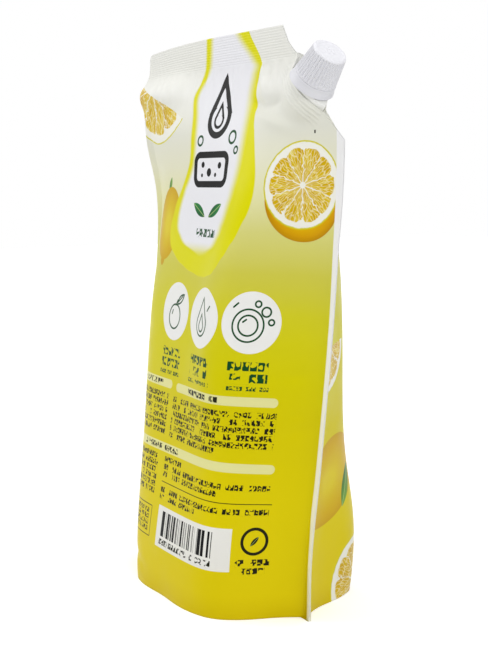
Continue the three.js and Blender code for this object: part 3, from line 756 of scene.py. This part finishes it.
# %% [markdown]
# Finishes. The print lies inside the laminate, so it has no thickness of its own: it is a colour that
# depends on the place on the flat film. An image would do this on a real pack. Here each printed shape is a
# signed distance instead, a number that is negative inside the shape and grows outwards, because such a
# shape stays sharp at any size and is built from a few Math nodes. A small class writes the nodes, so that
# the formulas can be read as sums.


# %% Numbers that vary over a surface
class Tone:
    """A number at each point of a surface, as the output of a node. Sums and products of tones add nodes."""

    def __init__(self, tree, socket):
        self.tree, self.socket = tree, socket

    def math(self, operation, *others, clamp=False):
        node = self.tree.nodes.new("ShaderNodeMath")
        node.operation = operation
        node.use_clamp = clamp
        for slot, value in zip(node.inputs, (self, *others)):
            connect(self.tree, value, slot)
        return Tone(self.tree, node.outputs[0])

    def __add__(self, other):
        return self.math("ADD", other)

    def __sub__(self, other):
        return self.math("SUBTRACT", other)

    def __mul__(self, other):
        return self.math("MULTIPLY", other)

    def __or__(self, other):
        """Both shapes together: the smaller of two distances."""
        return self.math("MINIMUM", other)

    def __and__(self, other):
        """Only where both shapes are: the larger of two distances."""
        return self.math("MAXIMUM", other)

    def line(self, width):
        """A stroke of the given width along the shape's edge."""
        return self.math("ABSOLUTE") - width / 2

    def mask(self, soft=0.22):
        """1 inside the shape and 0 outside, with a soft edge of the given width in millimetres."""
        return self.ramp(soft / 2, -soft / 2)

    def ramp(self, start, end, low=0.0, high=1.0):
        """Goes from low at start to high at end, smoothly, and stays there."""
        node = self.tree.nodes.new("ShaderNodeMapRange")
        node.interpolation_type = "SMOOTHSTEP"
        for key, value in (("From Min", start), ("From Max", end), ("To Min", low), ("To Max", high)):
            node.inputs[key].default_value = value
        connect(self.tree, self, node.inputs["Value"])
        return Tone(self.tree, node.outputs[0])


def connect(tree, value, slot):
    """Puts a tone, a socket or a plain value into a node's input."""
    if isinstance(value, Tone):
        tree.links.new(value.socket, slot)
    elif isinstance(value, bpy.types.NodeSocket):
        tree.links.new(value, slot)
    else:
        slot.default_value = value


class Place:
    """A point that varies over a surface, as the output of a Vector Math node."""

    def __init__(self, tree, socket):
        self.tree, self.socket = tree, socket

    def vector(self, operation, *others):
        node = self.tree.nodes.new("ShaderNodeVectorMath")
        node.operation = operation
        self.tree.links.new(self.socket, node.inputs[0])
        for slot, value in zip(node.inputs[1:], others):
            connect(self.tree, value.socket if isinstance(value, Place) else value, slot)
        return node

    def point(self, operation, *others):
        """The place that a Vector Math node makes of this one."""
        return Place(self.tree, self.vector(operation, *others).outputs["Vector"])

    def number(self, operation, *others):
        """The number that a Vector Math node makes of this place, such as its length."""
        return Tone(self.tree, self.vector(operation, *others).outputs["Value"])

    def moved(self, x, z):
        return self.point("SUBTRACT", (x, z, 0))

    def turned(self, degrees):
        node = self.tree.nodes.new("ShaderNodeVectorRotate")
        node.rotation_type = "Z_AXIS"
        node.inputs["Angle"].default_value = -math.radians(degrees)
        self.tree.links.new(self.socket, node.inputs["Vector"])
        return Place(self.tree, node.outputs[0])

    def stretched(self, x, z):
        return self.point("DIVIDE", (x, z, 1))

    def parts(self):
        """Both coordinates, as dot products with the unit vectors."""
        return [self.number("DOT_PRODUCT", axis) for axis in ((1, 0, 0), (0, 1, 0))]

    def disc(self, x, z, radius):
        """Distance to a point, less the radius."""
        return self.number("DISTANCE", (x, z, 0)) - radius

    def oval(self, x, z, half_x, half_z, degrees=0):
        """Distance to a disc on axes that are turned and then stretched, in units of the smaller half."""
        flat = self.moved(x, z).turned(degrees).stretched(half_x, half_z)
        return (flat.number("LENGTH") - 1) * min(half_x, half_z)

    def box(self, x, z, half_x, half_z, corner=0.0):
        """Length of what sticks out of a smaller box on both axes, less the corner's radius. With sharp
        corners: the larger of what sticks out on either axis."""
        out = self.moved(x, z).point("ABSOLUTE")
        if not corner:
            over_x, over_z = out.moved(half_x, half_z).parts()
            return over_x & over_z
        out = out.moved(half_x - corner, half_z - corner).point("MAXIMUM", (0, 0, 0))
        return out.number("LENGTH") - corner

    def stroke(self, start, end, width):
        """Distance to the nearest point of a straight piece of line, less half its width."""
        reach = (end[0] - start[0], end[1] - start[1])
        square = reach[0] ** 2 + reach[1] ** 2
        near = self.moved(*start)
        share = near.number("DOT_PRODUCT", (reach[0] / square, reach[1] / square, 0))
        share = share.math("ADD", 0.0, clamp=True)
        scaled = self.tree.nodes.new("ShaderNodeVectorMath")
        scaled.operation = "SCALE"
        scaled.inputs[0].default_value = (*reach, 0)
        connect(self.tree, share, scaled.inputs["Scale"])
        return near.point("SUBTRACT", scaled.outputs["Vector"]).number("LENGTH") - width / 2


def speckle(tree, place, scale, detail=2.0, roughness=0.5):
    """Noise between 0 and 1 at a place. The scale is in waves per unit of the place."""
    node = tree.nodes.new("ShaderNodeTexNoise")
    node.inputs["Scale"].default_value = scale
    node.inputs["Detail"].default_value = detail
    node.inputs["Roughness"].default_value = roughness
    tree.links.new(place, node.inputs["Vector"])
    return Tone(tree, node.outputs[0])


def joined(tree, x, y, z=0.0):
    """Vector from three tones or numbers."""
    node = tree.nodes.new("ShaderNodeCombineXYZ")
    for slot, value in zip(node.inputs, (x, y, z)):
        connect(tree, value, slot)
    return Place(tree, node.outputs[0])


# %% Colours
def colour(code):
    """Linear colour from a six-digit code, by the sRGB curve."""
    parts = [int(code[i:i + 2], 16) / 255 for i in (0, 2, 4)]
    return (*[p / 12.92 if p <= 0.04045 else ((p + 0.055) / 1.055) ** 2.4 for p in parts], 1.0)


def over(tree, below, above, amount):
    """Colour above laid over colour below where the amount is 1."""
    node = tree.nodes.new("ShaderNodeMix")
    node.data_type = "RGBA"
    slots = [slot for slot in node.inputs if slot.type == "RGBA"]
    connect(tree, amount, node.inputs[0])
    connect(tree, below, slots[0])
    connect(tree, above, slots[1])
    return next(slot for slot in node.outputs if slot.type == "RGBA")


def blend_of(tree, value, stops):
    """Colour that follows a tone through a list of (place, colour code)."""
    node = tree.nodes.new("ShaderNodeValToRGB")
    ramp = node.color_ramp
    while len(ramp.elements) < len(stops):
        ramp.elements.new(0.5)
    for element, (position, code) in zip(ramp.elements, stops):
        element.position = position
        element.color = colour(code)
    connect(tree, value, node.inputs[0])
    return node.outputs[0]


def finish_of(name, roughness, **sockets):
    """New material with its Principled shader, whose plain values sit on its own sockets."""
    material = bpy.data.materials.new(name)
    material.use_nodes = True
    shader = material.node_tree.nodes["Principled BSDF"]
    shader.inputs["Roughness"].default_value = roughness
    for key, value in sockets.items():
        shader.inputs[key.replace("_", " ")].default_value = value
    return material, material.node_tree, shader


def bumped(tree, shader, height, strength, distance):
    """Small relief on a shader, from a tone between 0 and 1. The distance is in metres."""
    node = tree.nodes.new("ShaderNodeBump")
    node.inputs["Strength"].default_value = strength
    node.inputs["Distance"].default_value = distance
    connect(tree, height, node.inputs["Height"])
    tree.links.new(node.outputs[0], shader.inputs["Normal"])

# %% [markdown]
# The print of both films: a ground that goes from pale cream at the top to lemon yellow at the foot, a
# white field with a soft yellow rim, cut and whole lemons, and on the information panel discs, bars and
# rows of scribble, as in a printer's dummy. It is a plain design of its own. The ground's colours also hold
# painted light: a greyer stop round 240 mm is painted shade below the spout's collar, and a paler band
# round 262 mm is a painted highlight on the bulge beside the collar, both across the whole width.

# %% Ground and white field
# Painted light in the ground: the greyer stop at 240 mm is painted shade below the spout's collar, and the
# paler stop at 262 mm is a painted highlight on the bulge beside it.
GROUND_AND_PAINTED_LIGHT = [
    (0, "D6BF00"), (12, "DECA00"), (60, "DCCB00"), (100, "D5C800"), (118, "D4CB00"), (135, "D3CC12"),
    (150, "D1CC24"), (170, "CFCA4C"), (190, "D8D57E"), (205, "E3E1A8"), (222, "E5E4C8"), (240, "E2E2D5"),
    (252, "EAEAE1"), (262, "F1F1EB"), (271, "EDEDE6"), (275, "E9E9E2"), (288, "EAEAE4"),
]
FIELD_FOOT = 160.0
RIM_TINT, FIELD_TINT = "DEDA00", "ECECF0"
FIELD_RIM = [  # height, then left and right edge
    (166, -8, 0), (168, -19, 8), (171.5, -31, 13), (177.5, -42, 18.5), (185, -47, 24), (196, -45.5, 30),
    (207, -40, 34), (223, -30, 33.5), (240, -29.5, 29), (250, -31, 26), (259, -32.5, 23.5), (267, -28.5, 24),
    (273, -26, 25), (288, -25, 14),
]
FIELD_WHITE = [
    (177, -14, -4), (181, -28, 4), (187, -37, 10), (194, -40, 13.5), (205, -37, 17.5), (213, -32.5, 20),
    (223, -26.5, 22), (240, -26, 22), (250, -28, 21), (259, -30, 20), (267, -25.5, 20.5), (273, -22.5, 20),
    (288, -21, 5),
]


def film_place(tree):
    """Place on the flat film in millimetres: station from the middle, and height."""
    node = tree.nodes.new("ShaderNodeUVMap")
    node.uv_map = "film"
    return Place(tree, node.outputs[0]).stretched(MM, MM)


def two_edges(tree, z, rows):
    """Left and right edge of a shape at each height. A colour ramp carries the two numbers in its red and
    green, moved into its range and back."""
    node = tree.nodes.new("ShaderNodeValToRGB")
    ramp = node.color_ramp
    ramp.interpolation = "CARDINAL"
    while len(ramp.elements) < len(rows):
        ramp.elements.new(0.5)
    for element, (height, left, right) in zip(ramp.elements, rows):
        element.position = (height - FIELD_FOOT) / (HEIGHT - FIELD_FOOT)
        element.color = ((left + 100) / 200, (right + 100) / 200, 0, 1)
    connect(tree, (z - FIELD_FOOT) * (1 / (HEIGHT - FIELD_FOOT)), node.inputs[0])
    parts = tree.nodes.new("ShaderNodeSeparateColor")
    tree.links.new(node.outputs[0], parts.inputs[0])
    return Tone(tree, parts.outputs[0]) * 200 - 100, Tone(tree, parts.outputs[1]) * 200 - 100


def field_mask(tree, x, z, rows, left_soft, right_soft, foot_soft):
    """1 inside a field given by its two edges, with a soft edge of its own on each side and at its foot."""
    left, right = two_edges(tree, z, rows)
    return (x - left).ramp(*left_soft) * (right - x).ramp(*right_soft) * (z - rows[0][0]).ramp(*foot_soft)


def ground_and_painted_light_of(tree, z):
    """Colour of the bare film by its height, with painted shade round 240 mm and a painted highlight round 262
    mm.
    """
    return blend_of(tree, z * (1 / HEIGHT), [(height / HEIGHT, code) for height, code in GROUND_AND_PAINTED_LIGHT])


def white_field(tint, place):
    """Yellow rim and the white field inside it, over what lies below."""
    tree = place.tree
    x, z = place.parts()
    rim = field_mask(tree, x, z, FIELD_RIM, (-1.2, 0.8), (-0.4, 0.4), (-0.6, 0.8))
    tint = over(tree, tint, colour(RIM_TINT), rim)
    white = field_mask(tree, x, z, FIELD_WHITE, (-1.0, 4.0), (-2.5, 6.0), (-1.5, 7.0))
    return over(tree, tint, colour(FIELD_TINT), white)


# %% Lemons
PEEL_TONES = [(0.0, "BA8600"), (0.3, "D49C00"), (0.7, "DEAE00"), (1.0, "E2C410")]
FLESH_TONES = [(0.3, "C49A00"), (0.45, "D2AC00"), (0.58, "DABA1C"), (0.72, "E8DA80")]
SKIN_TONES = [(0.0, "C89E00"), (0.3, "D2AC06"), (0.7, "D8BC0E"), (1, "DECA20")]
RIND, PITH, VEIN = "D2CB2C", "F1F0E6", "F3EBBC"
PEEL_DEPTH, MEMBRANE_HALF, WEDGE_START, WEDGE_END, WEDGE_ROUND = 0.42, 0.007, 0.07, 0.85, 0.1  # of the radius


def cell_lines(tree, place):
    """Distance to the nearest line between the cells of a Voronoi pattern at a place."""
    node = tree.nodes.new("ShaderNodeTexVoronoi")
    node.feature = "DISTANCE_TO_EDGE"
    node.voronoi_dimensions = "2D"
    node.inputs["Scale"].default_value = 1.0
    tree.links.new(place.socket, node.inputs["Vector"])
    return Tone(tree, node.outputs["Distance"])


def lemon_slice(tint, place, x, z, radius, degrees, segments=10, side_way=(0.05, -0.28)):
    """Cut lemon: peel seen beside the face, rind line, pith, and segments as wedges between thin membranes.
    A wedge is where the arc left to the next membrane is longer than half its width, with its outer end
    rounded by the fourth power of the way from its middle. Juice cells are long cells of a pattern laid
    round the middle."""
    tree = place.tree
    face = place.disc(x, z, radius)
    wander = speckle(tree, place.socket, 0.28, 3) - 0.5
    if side_way:
        peel = place.disc(x + side_way[0] * radius, z + side_way[1] * radius, radius)
        skin = blend_of(tree, peel * (-1 / (PEEL_DEPTH * radius)), PEEL_TONES)
        tint = over(tree, tint, skin, peel.mask())
    tint = over(tree, tint, colour(RIND), (face + wander * 0.5).mask(0.3))
    tint = over(tree, tint, colour(PITH), (face + wander * 1.2 + 0.8).ramp(0.3, -0.3))
    u, v = place.moved(x, z).turned(degrees).parts()
    angle = v.math("ARCTAN2", u)
    turn = ((angle + wander * 0.4) * (segments / (2 * math.pi))).math("FRACT")
    off = (turn - 0.5).math("ABSOLUTE")
    from_middle = face + radius
    membrane = (off * -1 + 0.5) * from_middle * (2 * math.pi / segments) * -1 + MEMBRANE_HALF * radius
    rounding = (off * 2).math("POWER", 4) * (WEDGE_ROUND * radius)
    outer = from_middle + rounding + wander * 1.6 - WEDGE_END * radius
    wedge = (membrane & outer) & (from_middle * -1 + WEDGE_START * radius)
    laid = joined(tree, angle * 11 + wander * 2.4, from_middle * (4.5 / radius))
    veins = cell_lines(tree, laid).ramp(0.0, 0.17, 0.75, 0.0)
    flesh = speckle(tree, joined(tree, angle * 5, from_middle * (2.2 / radius), radius).socket, 1.0, 4, 0.6)
    flesh_tint = blend_of(tree, flesh, FLESH_TONES)
    flesh_tint = over(tree, flesh_tint, colour(VEIN), veins)
    return over(tree, tint, flesh_tint, wedge.ramp(0.1, -0.25))


def whole_lemon(tint, place, x, z, long, degrees):
    """Whole lemon: an oval with a small tip at the lower end, darker towards its edge, and pitted."""
    tree = place.tree
    turned = math.radians(degrees)
    tip_x, tip_z = x + 0.97 * long * math.sin(turned), z - 0.97 * long * math.cos(turned)
    body = place.oval(x, z, 0.68 * long, long, degrees)
    shape = body | place.oval(tip_x, tip_z, 0.13 * long, 0.2 * long, degrees)
    pits = speckle(tree, place.socket, 0.8, 3) * 2.5
    skin = blend_of(tree, (body * -1 + pits) * (1 / (0.6 * long)), SKIN_TONES)
    return over(tree, tint, skin, shape.mask(0.4))


def leaf(tint, place, x, z, long, degrees, tones=("2F6B2A", "6FA03A")):
    """Leaf: where two shifted discs overlap, with a pale line down its middle."""
    tree = place.tree
    local = place.moved(x, z).turned(degrees)
    bow = 1.25 * long
    away = bow - 0.27 * long
    shape = local.disc(away, 0, bow) & local.disc(-away, 0, bow)
    u, v = local.parts()
    tone = blend_of(tree, (v + u * 2) * (0.4 / long) + 0.5, [(0.2, tones[0]), (0.8, tones[1])])
    tint = over(tree, tint, tone, shape.mask(0.3))
    rib = local.stroke((0, -0.8 * long), (0, 0.85 * long), 0.035 * long) & shape
    return over(tree, tint, colour("A9C878"), rib.mask(0.3))


# %% Small print
INK = "1C1C08"
GREEN = "0C4620"


def scribble(tint, place, blocks, green_from):
    """Rows of scribble. A block is its left and right end, its top, the row pitch, the number of rows and
    the width of a cell. Sums over all blocks give the pitch and width that hold at
    each place, so one noise serves every block: its level lines make short bent strokes, square cells part
    them, and a second noise leaves some cells empty."""
    tree = place.tree
    x, z = place.parts()
    row = fineness = marked = None
    for left, right, top, pitch, rows, width in blocks:
        half_high = pitch * rows / 2
        block = place.box((left + right) / 2, top - half_high, (right - left) / 2, half_high).mask(0.1)
        terms = (block * ((z * -1 + top) * (1 / pitch)), block * (1 / width), block)
        if row is None:
            row, fineness, marked = terms
        else:
            row, fineness, marked = row + terms[0], fineness + terms[1], marked + terms[2]
    index = row.math("FLOOR")
    line = (row - index - 0.5).math("ABSOLUTE").ramp(0.42, 0.34)
    cell = x * fineness
    number = cell.math("FLOOR")
    apart = (cell - number - 0.5).math("ABSOLUTE").ramp(0.47, 0.39)
    waves = joined(tree, cell * 1.5, z * fineness * 1.5, 0.5)
    strokes = (speckle(tree, waves.socket, 1.0, 0) - 0.5).math("ABSOLUTE").ramp(0.15, 0.1)
    cell_place = joined(tree, number * 0.83, index * 9.1, fineness * 20)
    filled = speckle(tree, cell_place.socket, 1.0, 0).ramp(0.36, 0.37)
    shade = over(tree, colour(INK), colour(GREEN), z.ramp(green_from, green_from + 1))
    return over(tree, tint, shade, line * apart * strokes * filled * marked)


def pill(tint, place, left, right, z, half_high, code):
    """Bar with round ends."""
    shape = place.box((left + right) / 2, z, (right - left) / 2, half_high, half_high - 0.02)
    return over(place.tree, tint, colour(code), shape.mask())


# %% Discs with their pictures
DISC_PLACES = (38.5, 5.5, -28.5)
DISC_HEIGHT = 146.0
DISC_RADIUS = 15.3
LINE = 0.9
DISC_EDGE, DISC_WHITE = "D3C81E", "EEEEEB"


def drop_shape(place, x, z, radius, height):
    """A drop: a disc, and above the points where two lines from the tip touch it, the space between them."""
    lean = math.asin(radius / height)
    across, up = place.parts()
    aside, up = (across - x).math("ABSOLUTE"), up - z
    sides = aside * math.cos(lean) + (up - height) * math.sin(lean)
    return place.disc(x, z, radius) | (sides & (up * -1 + radius * math.sin(lean)))


def plate_picture(place, x, z):
    """A plate seen from above, with three bubbles and a sparkle."""
    plate = place.disc(x - 1.5, z - 1.5, 8.0).line(LINE) | place.disc(x - 1.5, z - 1.5, 5.0).line(LINE)
    bubbles = place.disc(x + 7.4, z + 5.4, 2.3).line(LINE) | place.disc(x + 10.3, z + 0.4, 1.4).line(LINE)
    bubbles = bubbles | place.disc(x + 3.0, z + 9.2, 1.5).line(LINE)
    glint = place.stroke((x - 9.6, z + 7.4), (x - 7.4, z + 9.4), LINE)
    return plate | bubbles | glint | place.stroke((x - 4.2, z + 0.2), (x - 2.6, z + 1.4), LINE)


def drop_picture(place, x, z):
    """A drop with a smaller one inside it, and two short strokes beside it."""
    drops = drop_shape(place, x, z - 3.0, 6.0, 13).line(LINE) | drop_shape(place, x, z - 4.0, 2.8, 6).line(LINE)
    return drops | place.stroke((x + 6.2, z + 4.2), (x + 8.2, z + 6.6), LINE)


def leaf_picture(place, x, z):
    """A fruit with a leaf above it and a short stem."""
    fruit = place.disc(x - 0.8, z - 2.8, 6.4).line(LINE)
    local = place.moved(x + 4.4, z + 6.6).turned(-52)
    blade = (local.disc(4.8, 0, 6.4) & local.disc(-4.8, 0, 6.4)).line(LINE)
    stem = place.stroke((x - 0.8, z + 3.2), (x + 1.0, z + 6.0), LINE)
    vein = place.stroke((x + 1.6, z + 5.0), (x + 6.4, z + 8.4), LINE * 0.8)
    return fruit | blade | stem | vein | place.stroke((x - 4.2, z - 1.6), (x - 3.4, z + 0.4), LINE)


def discs(tint, place):
    """Three white discs in a row, each with a green line picture."""
    tree = place.tree
    pictures = (plate_picture, drop_picture, leaf_picture)
    for x, picture in zip(DISC_PLACES, pictures):
        disc = place.disc(x, DISC_HEIGHT, DISC_RADIUS)
        tint = over(tree, tint, colour(DISC_EDGE), (disc - 0.35).mask(0.4))
        tint = over(tree, tint, colour(DISC_WHITE), disc.mask())
        tint = over(tree, tint, colour(GREEN), picture(place, x, DISC_HEIGHT).mask(0.25))
    return tint


# %% Information panel
BACK_BLOCKS = [
    # left, right, top, row pitch, rows, cell width
    *[(x - 10, x + 11, 127.4, 5.8, 2, 4.0) for x in DISC_PLACES],
    *[(x - 11, x + 12, 114.9, 2.7, 1, 1.7) for x in DISC_PLACES],
    (-4, 27, 109.1, 3.8, 1, 3.1), (-60, -34, 109.4, 3.6, 1, 2.9), (-46, -8, 76.4, 3.6, 1, 2.9),
    (-20, 56, 102.6, 3.75, 5, 2.3), (-20, 25, 83.8, 3.75, 1, 2.3), (-78, -25, 103.0, 3.7, 6, 2.3),
    (-72, -28, 70.8, 3.6, 6, 2.3), (-21, -3, 70.8, 3.4, 1, 2.5), (-21, 57, 67.0, 3.6, 1, 2.3),
    (-21, 30, 63.3, 3.6, 1, 2.3), (-21, 58, 55.4, 3.6, 1, 2.3), (-21, 16, 51.7, 3.4, 1, 2.3),
    (-60, -31, 41.6, 3.2, 4, 2.0), (-17, 31, 29.6, 3.9, 1, 2.6), (43.5, 61, 31.0, 4.2, 1, 3.2),
    (47, 58.5, 26.6, 4.0, 1, 2.9), (-16, 5, 191, 5.4, 1, 4.2),
]
BAR_TINT, PATCH_TINT, PATCH_INK = "E4E19C", "EAE9E3", "0B0B0B"
FRONT_BLOCKS = [(-22, 14, 192, 6.0, 1, 4.2), (-16, 8, 183, 4.0, 1, 2.8)]


def information(tint, place):
    """Bars, a rule, a small ruled box, a bar pattern on white, a leaf in a ring, and the rows of scribble."""
    tree = place.tree
    x, z = place.parts()
    for left, right, height in ((-18, 56, 107.2), (-90, -23, 107.6), (-74, 58, 74.6)):
        tint = pill(tint, place, left, right, height, 2.3, BAR_TINT)
    tint = over(tree, tint, colour(PATCH_TINT), place.box(10.5, 35, 30.5, 10.6, 0.3).mask())
    bars = speckle(tree, joined(tree, x * 1.0, 2.5, 0.5).socket, 1.0, 1).ramp(0.47, 0.49)
    tint = over(tree, tint, colour(PATCH_INK), bars * place.box(9, 36.9, 24, 6.4).mask())
    mark = place.disc(52.5, 39.4, 6.2).line(1.5) | place.box(19, 57.5, 40, 0.2)
    mark = mark | place.box(-45, 35, 17, 8, 0.5).line(0.45) | place.box(67, 238, 0.45, 0.75)
    tint = over(tree, tint, colour(INK), mark.mask(0.25))
    tint = leaf(tint, place, 52.5, 39.4, 3.9, -40, (INK, INK))
    return scribble(tint, place, BACK_BLOCKS, 111.5)


MOTIF_INK = "020202"
MOTIF_LEAF = ("0B5426", "1C7A36")
SPONGE_PORES = [(-15, 223.5, 1.6), (-8.5, 219.5, 2.2), (1.5, 223, 1.7), (-2, 218.2, 1.1), (-15.5, 218, 1.0)]


def field_motif(tint, place):
    """In the white field: a large drop and a sponge drawn with a bold line, bubbles, and two leaves."""
    tree = place.tree
    bold = drop_shape(place, -5, 247, 8.6, 19).line(3.4) | (drop_shape(place, -5, 246, 3.6, 8).line(1.6))
    sponge = place.box(-7, 221, 15.5, 7.6, 4.0).line(3.4)
    for x, z, radius in SPONGE_PORES:
        sponge = sponge | place.disc(x, z, radius)
    tint = over(tree, tint, colour(MOTIF_INK), (bold | sponge).mask(0.2))
    rings = place.disc(10.5, 237, 3.0).line(1.3) | place.disc(-19.5, 236, 2.4).line(1.2)
    rings = rings | place.disc(15.5, 230.5, 1.7).line(1.1)
    tint = over(tree, tint, colour(GREEN), rings.mask(0.25))
    tint = leaf(tint, place, -15.5, 200, 9.5, 62, MOTIF_LEAF)
    return leaf(tint, place, 1.5, 200, 9.5, -62, MOTIF_LEAF)


# %% Film finishes
MARGIN = [(0, "F6F4DC"), (50, "F6F4E0"), (110, "F4F4EC"), (140, "F3F3F3"), (288, "EDEDED")]
MARGIN_START = (38, 58, 81.9, 80.2)  # two heights, and the station where it starts below and above them
FILM_ROUGHNESS = 0.34
FILM_SHINE = 0.08
SWELL = {"scale": 0.07, "detail": 1, "roughness": 0.4}  # soft unevenness, in waves for each mm
SWELL_STRENGTH, SWELL_DEPTH = 0.3, 0.0009


def film_finish(name, motif):
    """Gloss laminate: the given print, a pale margin along the right seal, and a slight unevenness of the
    surface."""
    material, tree, shader = finish_of(name, FILM_ROUGHNESS, Specular_IOR_Level=FILM_SHINE)
    place = film_place(tree)
    x, z = place.parts()
    tint = motif(ground_and_painted_light_of(tree, z), place)
    margin = blend_of(tree, z * (1 / HEIGHT), [(height / HEIGHT, code) for height, code in MARGIN])
    tint = over(tree, tint, margin, (x - z.ramp(*MARGIN_START)).ramp(-0.2, 0.2))
    tree.links.new(tint, shader.inputs["Base Color"])
    rough = speckle(tree, place.socket, 0.05, 2).ramp(0.3, 0.7, FILM_ROUGHNESS - 0.05, FILM_ROUGHNESS + 0.06)
    tree.links.new(rough.socket, shader.inputs["Roughness"])
    bumped(tree, shader, speckle(tree, place.socket, **SWELL), SWELL_STRENGTH, SWELL_DEPTH)
    return material


def cut_slice(tint, place, cut, *slice_values):
    """Part of a lemon slice on one side of a straight cut: two factors and the number they add up to."""
    x, z = place.parts()
    side = x * cut[0] + z * cut[1] - cut[2]
    return over(place.tree, tint, lemon_slice(tint, place, *slice_values, None), side.mask(0.4))


def back_print(tint, place):
    """Information panel's film: a cut lemon at the right, part of another at the left edge, a whole one with
    its leaf, and over them the field, the discs and the panel."""
    tint = lemon_slice(tint, place, 61, 213, 21.2, 18)
    tint = cut_slice(tint, place, (0.425, 0.905, 207.5), -67.5, 269, 33.5, 200, 12)
    tint = leaf(tint, place, -52, 213, 6, -24)
    tint = whole_lemon(tint, place, -51.5, 192, 20, -8)
    tint = field_motif(white_field(tint, place), place)
    return information(discs(tint, place), place)


def front_print(tint, place):
    """Front film: cut and whole lemons with leaves, and over them the field and its rows of scribble."""
    tint = cut_slice(tint, place, (0.1, 1, 142.5), 74, 136, 24, 30, 10)
    tint = leaf(tint, place, 28, 92, 13, 40)
    tint = whole_lemon(tint, place, 61, 67, 31, 70)
    tint = leaf(tint, place, 42, 61, 15, -160)
    tint = whole_lemon(tint, place, -48, 78, 28, -14)
    tint = leaf(tint, place, -30, 106, 14, -38)
    tint = lemon_slice(tint, place, 28, 5, 27, 18, 10, None)
    tint = lemon_slice(tint, place, -34, 30, 24, 54)
    tint = lemon_slice(tint, place, -66, 128, 13, 0)
    return scribble(field_motif(white_field(tint, place), place), place, FRONT_BLOCKS, 186)


back_finish = film_finish("printed_back_film", back_print)
front_finish = film_finish("printed_front_film", front_print)

foot_finish, foot_tree, foot_shader = finish_of("foot_film", FILM_ROUGHNESS, Specular_IOR_Level=FILM_SHINE)
foot_place = foot_tree.nodes.new("ShaderNodeTexCoord").outputs["Object"]
foot_grain = speckle(foot_tree, foot_place, 180, 3)
foot_tint = blend_of(foot_tree, foot_grain, [(0.3, "D2BF00"), (0.7, "D9C708")])
foot_tree.links.new(foot_tint, foot_shader.inputs["Base Color"])
bumped(foot_tree, foot_shader, foot_grain, 0.3, 0.0005)

for finish in (back_finish, front_finish, foot_finish):
    film_pouch.data.materials.append(finish)
print("Print nodes:", len(back_finish.node_tree.nodes), len(front_finish.node_tree.nodes))

# %% [markdown]
# The closure's plastics are white, and white plastic isn't one flat colour: its tint and gloss wander, and
# the spout's natural polyethylene is creamier than the cap. Light is also painted into these colours: the
# cap's tones are greyed as painted shade for its knurled side, its flat top is painted paler as a painted
# highlight, and the spout is made paler than the cap to lift the shade in the notch beside it. Light that
# goes under the skin was left out, since at this size it only adds noise.


# %% Moulded plastic
def moulded_plastic(name, pale, dark, roughness, lit_top=None):
    """White moulded plastic whose tint and gloss wander a little. The last argument, if given, is a height on
    the spout's axis and a colour: above that height the moulding takes that paler colour, a painted highlight
    that stands for the stronger light on the top."""
    material, tree, shader = finish_of(name, roughness, Specular_IOR_Level=0.3)
    place = Place(tree, tree.nodes.new("ShaderNodeTexCoord").outputs["Object"])
    drift = speckle(tree, place.socket, 90, 2)
    tint = blend_of(tree, drift, [(0.3, dark), (0.7, pale)])
    # Painted highlight: above the given height the moulding takes the paler colour, for the light on the cap's
    # top.
    if lit_top:
        along = place.moved(*SPOUT_ORIGIN[[0, 1]] * MM).number("DOT_PRODUCT", (SLANT, 0, SLANT))
        start = lit_top[0] * MM + SPOUT_Z * SLANT * MM
        tint = over(tree, tint, colour(lit_top[1]), along.ramp(start - 0.3 * MM, start + 0.3 * MM))
    tree.links.new(tint, shader.inputs["Base Color"])
    tree.links.new(drift.ramp(0.3, 0.7, roughness - 0.04, roughness + 0.05).socket, shader.inputs["Roughness"])
    return material


# Painted light on the cap and ring: their tones are greyed as painted shade for the knurled side, and the top
# takes ECECF1 as a painted highlight.
cap_finish = moulded_plastic("cap_plastic", "E0E0E5", "DDDDE2", 0.45, (CAP_TOP - 0.9, "ECECF1"))
# Painted light: the spout's pale natural colour is raised paler still, to lift the shade in the notch between
# the film and the cap.
spout_finish = moulded_plastic("spout_plastic", "F6F6F2", "F2F2ED", 0.42)
for piece, finish in ((screw_cap, cap_finish), (tamper_ring, cap_finish), (spout, spout_finish)):
    piece.data.materials.append(finish)
print("Finishes:", len(bpy.data.materials))
